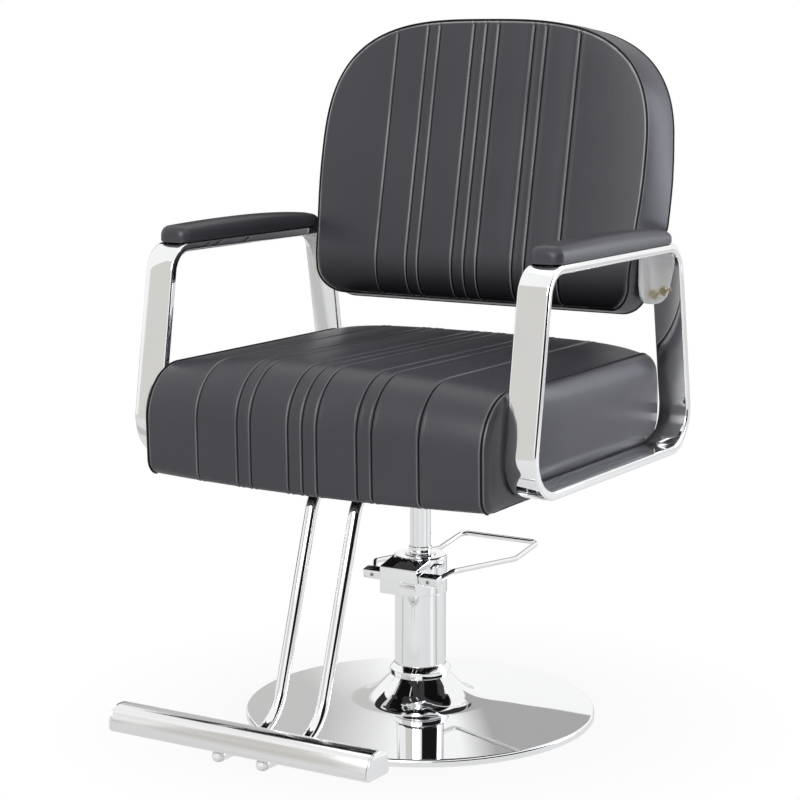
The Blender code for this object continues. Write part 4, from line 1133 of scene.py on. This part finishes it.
backPart = {
    "foot": (0.0, 0.1085, 0.590), "tilt": math.radians(11.3), "middle": 0.040, "centre": 0.2, "depth": 0.075,
    "footHalf": 0.2572, "footRound": 0.034, "knee": 0.080, "half": 0.2655, "waist": 0.190, "height": 0.4018,
    "power": 3.1, "upperCorner": 0.2123, "upperFrom": 0.3, "crown": 0.011, "roll": 0.036, "rollHeight": 0.064,
    "seams": [0.0205, 0.0775, 0.0975, 0.1499], "panelWidth": 0.10, "swell": 0.0050,
    "topRows": (0.978, 0.985, 0.9884, 0.9906, 0.9924, 0.9942, 0.9960, 0.9978, 1.0),
    # strengths of the painted highlight beside the seams and the sewn edges, and of the painted shade at the
    # foot
    "lip": 0.85, "paintedFaceEdgeLight": 0.85, "paintedBandEdgeLight": 0.4, "lipReach": 0.006, "paintedFootShade": 0.66, "footPower": 1.25,
    # the band round the edge: how far it swells, where that starts above the arms, and its spread below
    "bulgeSide": 0.012, "bulgeFoot": 0.002, "bulgeTop": 0.0085,
    "bandPlaces": (0, 0.28, 0.62, 1.0), "bandSwell": (0, 0.46, 0.84, 1.0),
    "rampLow": 0.112, "rampDrop": 0.012, "rampLength": 0.020,
    "flare": 0.0060, "flareHigh": 0.240, "flareLength": 0.11,
    "boardMargin": 0.0247, "boardFront": 0.0562, "boardMiddle": 0.05,
    "pipingOut": 0.0004, "pipingStep": 0.0012,
    "panelEdge": 0.010, "panelDome": 0.018, "panelTurn": 0.03, "panelSwell": 0.004,
    "panelRings": (1.0, 0.9985, 0.994, 0.986, 0.974),
}
deepWay = np.array([0, math.cos(backPart["tilt"]), -math.sin(backPart["tilt"])])


def backWorld(local):        # across, depth behind the face, height up the leaning back
    local = np.asarray(local, float)
    x, y, z = backPart["foot"]
    lean = backPart["tilt"]
    across, deep, up = local[..., 0], local[..., 1], local[..., 2]
    return np.stack([x + across, y + deep * math.cos(lean) + up * math.sin(lean),
                     z - deep * math.sin(lean) + up * math.cos(lean)], -1)


def backFace(flat):
    part = backPart
    across, up = flat[..., 0], flat[..., 1]
    fall = np.clip(1 - up / part["rollHeight"], 0, 1)
    deep = part["crown"] * (np.abs(across) / part["half"]) ** 2 + part["roll"] * (1 - np.sqrt(1 - fall ** 2))
    return np.stack([across, deep, up], -1)


def backSkin(flat):
    return backWorld(backFace(flat))


def atDepth(flat, deep):
    return np.insert(flat, 1, deep, 1)


def backTop(x):
    part = backPart
    upper = (1 - (np.abs(x) / part["half"]) ** part["power"]) ** (1 / part["power"])
    return part["waist"] + (part["height"] - part["waist"]) * upper


def backSide():
    # right half of the outline, from the last seam along the foot, up the side and over to the seam again
    part = backPart
    knee, waist, half, power = part["knee"], part["waist"], part["half"], part["power"]
    slope = (half - part["footHalf"]) / (waist - part["footRound"])
    corner = part["footHalf"] - slope * part["footRound"]
    kneeOut = part["footHalf"] + slope * (knee - part["footRound"])
    seam = part["seams"][-1]
    lower = fillet([(seam, 0.0), (corner, 0.0), (kneeOut, knee)], part["footRound"], 24, False)
    t = np.linspace(0, 1, 21)[1:]
    rise = waist - knee
    bow = (2 * t ** 3 - 3 * t ** 2 + 1) * kneeOut + (t ** 3 - 2 * t ** 2 + t) * slope * rise
    bow = bow + (3 * t ** 2 - 2 * t ** 3) * half
    side = np.column_stack([bow, knee + rise * t])
    turn = np.linspace(0, math.acos((seam / half) ** (power / 2)), 90)[1:]
    upper = np.column_stack([half * np.cos(turn) ** (2 / power),
                             waist + (part["height"] - waist) * np.sin(turn) ** (2 / power)])
    upper[-1] = (seam, backTop(seam))
    return np.concatenate([np.array(lower), side, upper])


def backGrid(columns, rollRows, upShares, sideShares):
    # face patches in the flat plane of the back: the channels, then the panel outside the last seam
    part = backPart
    turn = np.linspace(0, math.pi / 2, rollRows + 1)
    strip = np.zeros((rollRows + len(upShares), len(columns), 2))
    strip[..., 0] = columns[None]
    strip[:rollRows + 1, :, 1] = part["rollHeight"] * (1 - np.cos(turn))[:, None]
    rest = backTop(columns) - part["rollHeight"]
    strip[rollRows:, :, 1] = part["rollHeight"] + upShares[:, None] * rest[None]
    line = backSide()
    run = runAlong(line)
    first = run[13]                        # half way round the lower corner
    last = run[np.argmin(np.abs(line[:, 0] - part["upperCorner"]) + (line[:, 1] < part["upperFrom"]))]
    rows = runAlong(backFace(strip[:, -1]))
    rows = rows / rows[-1]

    def onLine(wanted):
        return np.column_stack([np.interp(wanted, run, line[:, k]) for k in (0, 1)])

    bottom, top = onLine(first * sideShares), onLine(run[-1] - (run[-1] - last) * sideShares)
    right = onLine(first + (last - first) * rows)
    panel = coons(bottom, top, strip[:, -1], right, sideShares, rows)
    return strip, panel, rows


def backLoop(strip, panel):          # the outline, all the way round, from the face patches' own edges
    mirror = panel * (-1, 1)
    return np.concatenate([strip[0, :-1], panel[0, :-1], panel[:-1, -1], panel[-1, ::-1][:-1],
                           strip[-1, ::-1][:-1], mirror[-1, :-1], mirror[::-1, -1][:-1],
                           mirror[0, ::-1][:-1]])


def backBand(loop, shares):
    part = backPart
    outward = outwardOf(loop)
    up = loop[:, 1]
    ramp = part["rampLow"] - part["rampDrop"] * shares[:, None]
    climb = np.clip((up[None] - ramp) / part["rampLength"], 0, 1)
    side = part["bulgeFoot"] + (part["bulgeSide"] - part["bulgeFoot"]) * climb ** 2 * (3 - 2 * climb)
    over = np.where(outward[:, 1] > 0, part["bulgeTop"], part["bulgeFoot"])
    bulge = side + (over - side) * np.abs(outward[:, 1])
    start = backFace(loop)[:, 1]
    swell = cubicAlong(np.array(part["bandPlaces"]), np.array(part["bandSwell"]), shares)
    flare = part["flare"] * np.clip((part["flareHigh"] - up) / part["flareLength"], 0, 1)
    flare = flare * np.abs(outward[:, 0])
    out = bulge * swell[:, None] + flare[None] * climb ** 2 * shares[:, None] ** 2
    spots = loop[None] + outward[None] * out[..., None]
    deep = start[None] + (part["depth"] - start[None]) * shares[:, None]
    return np.stack([spots[..., 0], deep, spots[..., 1]], -1)


def backRear(loop):
    return backBand(loop, np.array([0.0, 1.0]))[1]


def shareAround(loop):
    run = runAlong(np.concatenate([loop, loop[:1]]))
    return run / run[-1]


def addBack():
    part = backPart
    seams = bothSides(part["seams"])
    middle = backWorld((0, part["middle"], part["centre"]))
    columns, sideShares, bandShares = coarseColumns(seams), np.linspace(0, 1, 9), np.linspace(0, 1, 7)
    strip, panel, rows = backGrid(columns, 7, np.linspace(0, 1, 28), sideShares)
    loop = backLoop(strip, panel)
    coarse = [backSkin(flat) for flat in (strip, panel, panel * (-1, 1))]
    pins = [rimPins(patch) for patch in coarse]
    pins[0][:, onSeam(columns, seams)] = True
    coarse.append(backWorld(closeLoop(backBand(loop, bandShares))))
    pins.append(rimPins(coarse[3], False))
    moved = puffPatches(coarse, pins, middle, part["swell"])

    fineUp = np.concatenate([np.linspace(0, 0.97, 76), part["topRows"]])
    near, rim = [np.array(softSkin[key]) / part["panelWidth"] for key in ("besideSeam", "besideRim")]
    fineSide = 1 - (1 - near[-1]) * (1 - np.linspace(0, 1, 23)) ** 1.35
    fineSide = np.unique(np.concatenate([[0], near, fineSide[1:], 1 - rim]))
    wide = fineColumns(seams)
    fineStrip, finePanel, fineRows = backGrid(wide, 20, fineUp, fineSide)
    fineBand = rimShares(easedShares(16), part["depth"])
    fineLoop = backLoop(fineStrip, finePanel)

    # painted shade: the leather drawn darker towards the foot of the back, where the roll turns under
    def paintedShadeAtFoot(up):
        return np.clip(1 - up / part["rollHeight"], 0, 1) ** part["footPower"] * part["paintedFootShade"]

    face = backSkin(fineStrip) + cubicAlong(rows, cubicPanels(seams, columns, moved[0], wide), fineRows)
    away = nearestSeam(wide, seams)
    # painted highlight and shade beside the seams, with painted shade towards the foot
    marks = [np.repeat(paintedSeamShading(away, part["lip"])[None], len(face), 0) - paintedShadeAtFoot(fineStrip[:, :1, 1])]
    face = face + patchNormals(face, middle) * seamProfile(away)[None, :, None]
    patches = [face]
    for way, end, shift in ((1, -1, moved[1]), (-1, 0, moved[2])):
        outer = backSkin(finePanel * (way, 1))
        outer = outer + cubicAcross(sideShares, cubicAlong(rows, shift, fineRows), fineSide)
        away = way * (finePanel[..., 0] - part["seams"][-1])
        # painted highlight and shade beside the seam, with painted shade towards the foot
        marks.append(paintedSeamShading(away, part["lip"]) - paintedShadeAtFoot(finePanel[..., 1]))
        outer = outer + patchNormals(outer, middle) * seamProfile(away)[..., None]
        outer[:, 0] = face[:, end]
        # the face's edge follows the sewn outline exactly
        rim = backSkin(finePanel * (way, 1))
        outer[0], outer[-1], outer[:, -1] = rim[0], rim[-1], rim[:, -1]
        patches.append(outer)
    face[[0, -1]] = backSkin(fineStrip[[0, -1]])
    border = backSkin(fineLoop)
    # painted highlight and painted shade along the face's sewn edge take the place of the other marks there
    for number, patch in enumerate(patches):
        near = np.array([np.linalg.norm(row[:, None] - border[None], axis=-1).min(1) for row in patch])
        marks[number] = np.where(near < part["lipReach"], paintedEdgeShading(near, part["paintedFaceEdgeLight"]), marks[number])

    band = backWorld(closeLoop(backBand(fineLoop, fineBand)))
    lift = cubicAlong(bandShares, moved[3], fineBand)
    band = band + cubicAcross(shareAround(loop), lift, shareAround(fineLoop))
    # painted highlight and painted shade along the band's front edge
    marks.append(paintedEdgeShading(np.linalg.norm(band - band[:1], axis=-1), part["paintedBandEdgeLight"]))
    margin, centre = part["boardMargin"], np.array([0, part["height"] / 2])
    scale = np.array([(part["half"] - margin) / part["half"], 1 - 2 * margin / part["height"]])
    hole = centre + (fineLoop - centre) * scale
    rings = [backRear(fineLoop), atDepth(hole, part["depth"]), atDepth(hole, part["boardFront"]),
             atDepth(centre + (hole - centre) * part["boardMiddle"], part["boardFront"])]
    rear = backWorld(closeLoop(np.array(rings)))
    rear[0] = band[-1]
    marks.append(np.zeros(rear.shape[:2]))
    softPiece("backCushion", patches + [band, rear], marks, ["back_cushion"])
    path = backWorld(backFace(fineLoop) + atDepth(outwardOf(fineLoop), 0) * part["pipingOut"])
    keep = np.concatenate([[True], np.linalg.norm(np.diff(path, axis=0), axis=1) > part["pipingStep"]])
    addPiping("backPiping", path[keep], deepWay, True)
    addRearPanel(fineLoop[keep], middle)


def addRearPanel(loop, middle):
    part = backPart
    near = part["depth"] + seatGap
    rim = backRear(loop)[:, [0, 2]]
    centre = np.array([0, part["centre"]])

    def ringAt(scale, deep):
        return atDepth(centre + (rim - centre) * scale, deep)

    scales = np.concatenate([part["panelRings"], np.linspace(0.95, 0.04, 26)])
    rings = []
    for scale in scales:
        bend = min((1 - scale) / part["panelTurn"], 1)
        deep = near + part["panelEdge"] * math.sqrt(1 - (1 - bend) ** 2)
        rings.append(ringAt(scale, deep + part["panelDome"] * (1 - scale ** 4)))
    patch = backWorld(closeLoop(np.array(rings)))
    rows, wide = patch.shape[:2]
    thin = np.append(np.arange(0, wide - 1, 4), wide - 1)
    coarse = patch[:, thin]
    pins = np.zeros(coarse.shape[:2], bool)
    pins[:2] = True
    moved = puffPatches([coarse], [pins], middle, part["panelSwell"])[0]
    patch = patch + cubicAcross(thin.astype(float), moved, np.arange(float(wide)))
    under = backWorld(closeLoop(np.array([atDepth(rim, near), ringAt(scales[-1], near)])))
    marks = [np.zeros(patch.shape[:2]), np.zeros(under.shape[:2])]
    ends = [ringFace(rows - 1, wide), ringFace(rows + 1, wide)]
    softPiece("backPanel", [patch, under], marks, ["back_panel"], ends)
    addPiping("rearPiping", backWorld(atDepth(rim, near + part["pipingOut"])), deepWay, True)


padPart = {
    "middle": 0.29005, "half": 0.0235, "skirt": 0.6790, "low": 0.6831, "top": 0.7035, "crown": 0.0012,
    "front": -0.1905, "rear": 0.1580, "noseRound": 0.0140, "noseFall": 0.5, "swell": 0.0020,
    "archAt": -0.030, "archHalf": 0.17, "frontFall": 0.0025, "rearFall": 0.0060,
    "pocket": 0.0193, "pocketEnd": 0.0041, "pocketWall": 0.0034,
    "lowRound": 0.003, "topRound": 0.013, "topRoundMost": 0.7, "topRise": 0.55,
    "ends": (0, 0.0003, 0.0009, 0.0018, 0.0029, 0.0040, 0.0042, 0.0058, 0.0076, 0.0096, 0.0118),
}


def padSection(wide, top, pocket):
    # right half, from the middle of the underside to the middle of the top
    part = padPart
    skirt, edge = part["skirt"], part["lowRound"]
    inner, under = min(part["pocket"], wide - part["pocketWall"]), part["low"] if pocket else skirt
    half = [(0, under), (inner, under), (inner, skirt)]
    half += [(wide - edge + edge * math.cos(a), skirt + edge + edge * math.sin(a))
             for a in np.linspace(-math.pi / 2, 0, 5)]
    out, rise = min(part["topRound"], wide * part["topRoundMost"]), (top - skirt) * part["topRise"]
    half += [(wide - out + out * math.cos(a), top - rise + rise * math.sin(a))
             for a in np.linspace(0, math.pi / 2, 12)]
    return half + [(0, top + part["crown"])]


def addPads():
    part = padPart
    ends = np.array(part["ends"])
    middleRows = np.linspace(part["front"] + part["noseRound"], part["rear"] - part["noseRound"], 26)
    rows = np.concatenate([part["front"] + ends, middleRows, part["rear"] - ends[::-1]])
    sections = []
    for row in rows:
        end = min(row - part["front"], part["rear"] - row)
        bend = max(1 - end / part["noseRound"], 0)
        fall = 1 - math.sqrt(1 - bend ** 2)
        drop = part["rearFall"] if row > part["archAt"] else part["frontFall"]
        top = part["top"] - drop * ((row - part["archAt"]) / part["archHalf"]) ** 2
        top -= part["noseFall"] * (top - part["skirt"]) * fall
        half = padSection(part["half"] - part["noseRound"] * fall, top, end > part["pocketEnd"])
        sections.append([(x, row, z) for x, z in half] + [(-x, row, z) for x, z in half[-2:0:-1]])
    between = slice(len(ends), len(ends) + len(middleRows))
    low, high = 8, 32                    # from one widest line over the top to the other
    spans = np.arange(low, high + 1, 2)
    for side, way in sides.items():
        patch = np.array(sections) + (way * part["middle"], 0, 0)
        coarse = patch[between, spans]
        middle = (way * part["middle"], 0, part["skirt"])
        moved = puffPatches([coarse], [rimPins(coarse)], middle, part["swell"])[0]
        patch[between, low:high + 1] += cubicAcross(spans.astype(float), moved, np.arange(low, high + 1.0))
        closed = closeLoop(patch)
        caps = [ringFace(row, closed.shape[1]) for row in (0, len(closed) - 1)]
        softPiece("armPad_" + side, [closed], [np.zeros(closed.shape[:2])], ["arm_pad_" + side], caps)


dustCover = {"half": 0.2330, "front": -0.2670, "rear": 0.1990, "corner": 0.012, "level": 0.37985,
             "thickness": 0.0001, "edge": 0.00004}


def addDustCover():          # black cloth stapled under the seat board
    part = dustCover
    outline = fillet(rectangle(-part["half"], part["half"], part["front"], part["rear"]), part["corner"], 4)
    sheet = slab(outline, part["level"] - part["thickness"], part["level"], part["edge"], 1)
    addShape("dustCover", sheet, "cloth", "seat", ())


addDustCover()
addSeat()
print("seat padded")
addBack()
print("back padded")
addPads()
print("arm pads padded")


# CAD nodes that stay: their own finish, and shading that runs smoothly over shallow edges
slotFinish = {"chrome": "chrome", "bare_steel": "steel", "zinc_bolt": "zinc", "charcoal_leather": "leather",
              "black_rubber": "rubber", "black_plastic": "plastic", "plywood": "plywood"}
ownFinish = {"seat_plate": "darkSteel", "seat_hub": "darkSteel", "footrest_clamp_1": "darkSteel",
             "footrest_clamp_2": "darkSteel"}
for side in sides:
    ownFinish["back_bracket_" + side] = "satin"
    for end in ("front", "rear"):
        ownFinish["arm_tab_%s_%s" % (end, side)] = "darkSteel"


def smoothShading(item, angle):
    mesh = item.data
    corners = np.zeros(len(mesh.loops), int)
    mesh.loops.foreach_get("vertex_index", corners)
    places = np.zeros(len(mesh.vertices) * 3)
    mesh.vertices.foreach_get("co", places)
    spots = np.round(places.reshape(-1, 3)[corners] / sameSpot).astype(np.int64)
    spots = np.unique(spots, axis=0, return_inverse=True)[1].ravel()
    flat = np.array([face.normal[:] for face in mesh.polygons for _ in face.loop_indices])
    weight = np.array([face.area for face in mesh.polygons for _ in face.loop_indices])
    order = np.argsort(spots, kind="stable")
    groups = np.split(order, np.flatnonzero(np.diff(spots[order])) + 1)
    normals = flat.copy()
    for group in groups:
        alike = (flat[group] @ flat[group].T) > math.cos(angle)
        normals[group] = alike @ (flat[group] * weight[group][:, None])
    normals /= np.maximum(np.linalg.norm(normals, axis=1), 1e-12)[:, None]
    mesh.shade_smooth()
    mesh.normals_split_custom_set(normals.tolist())


for row in frame["record"]["subparts"]:
    item = frame["nodes"][row["node"]]
    item.data.materials.clear()
    item.data.materials.append(finishes[ownFinish.get(row["node"], slotFinish[row["material_slot"]])])
    smoothShading(item, math.radians(32))
print("CAD nodes finished")
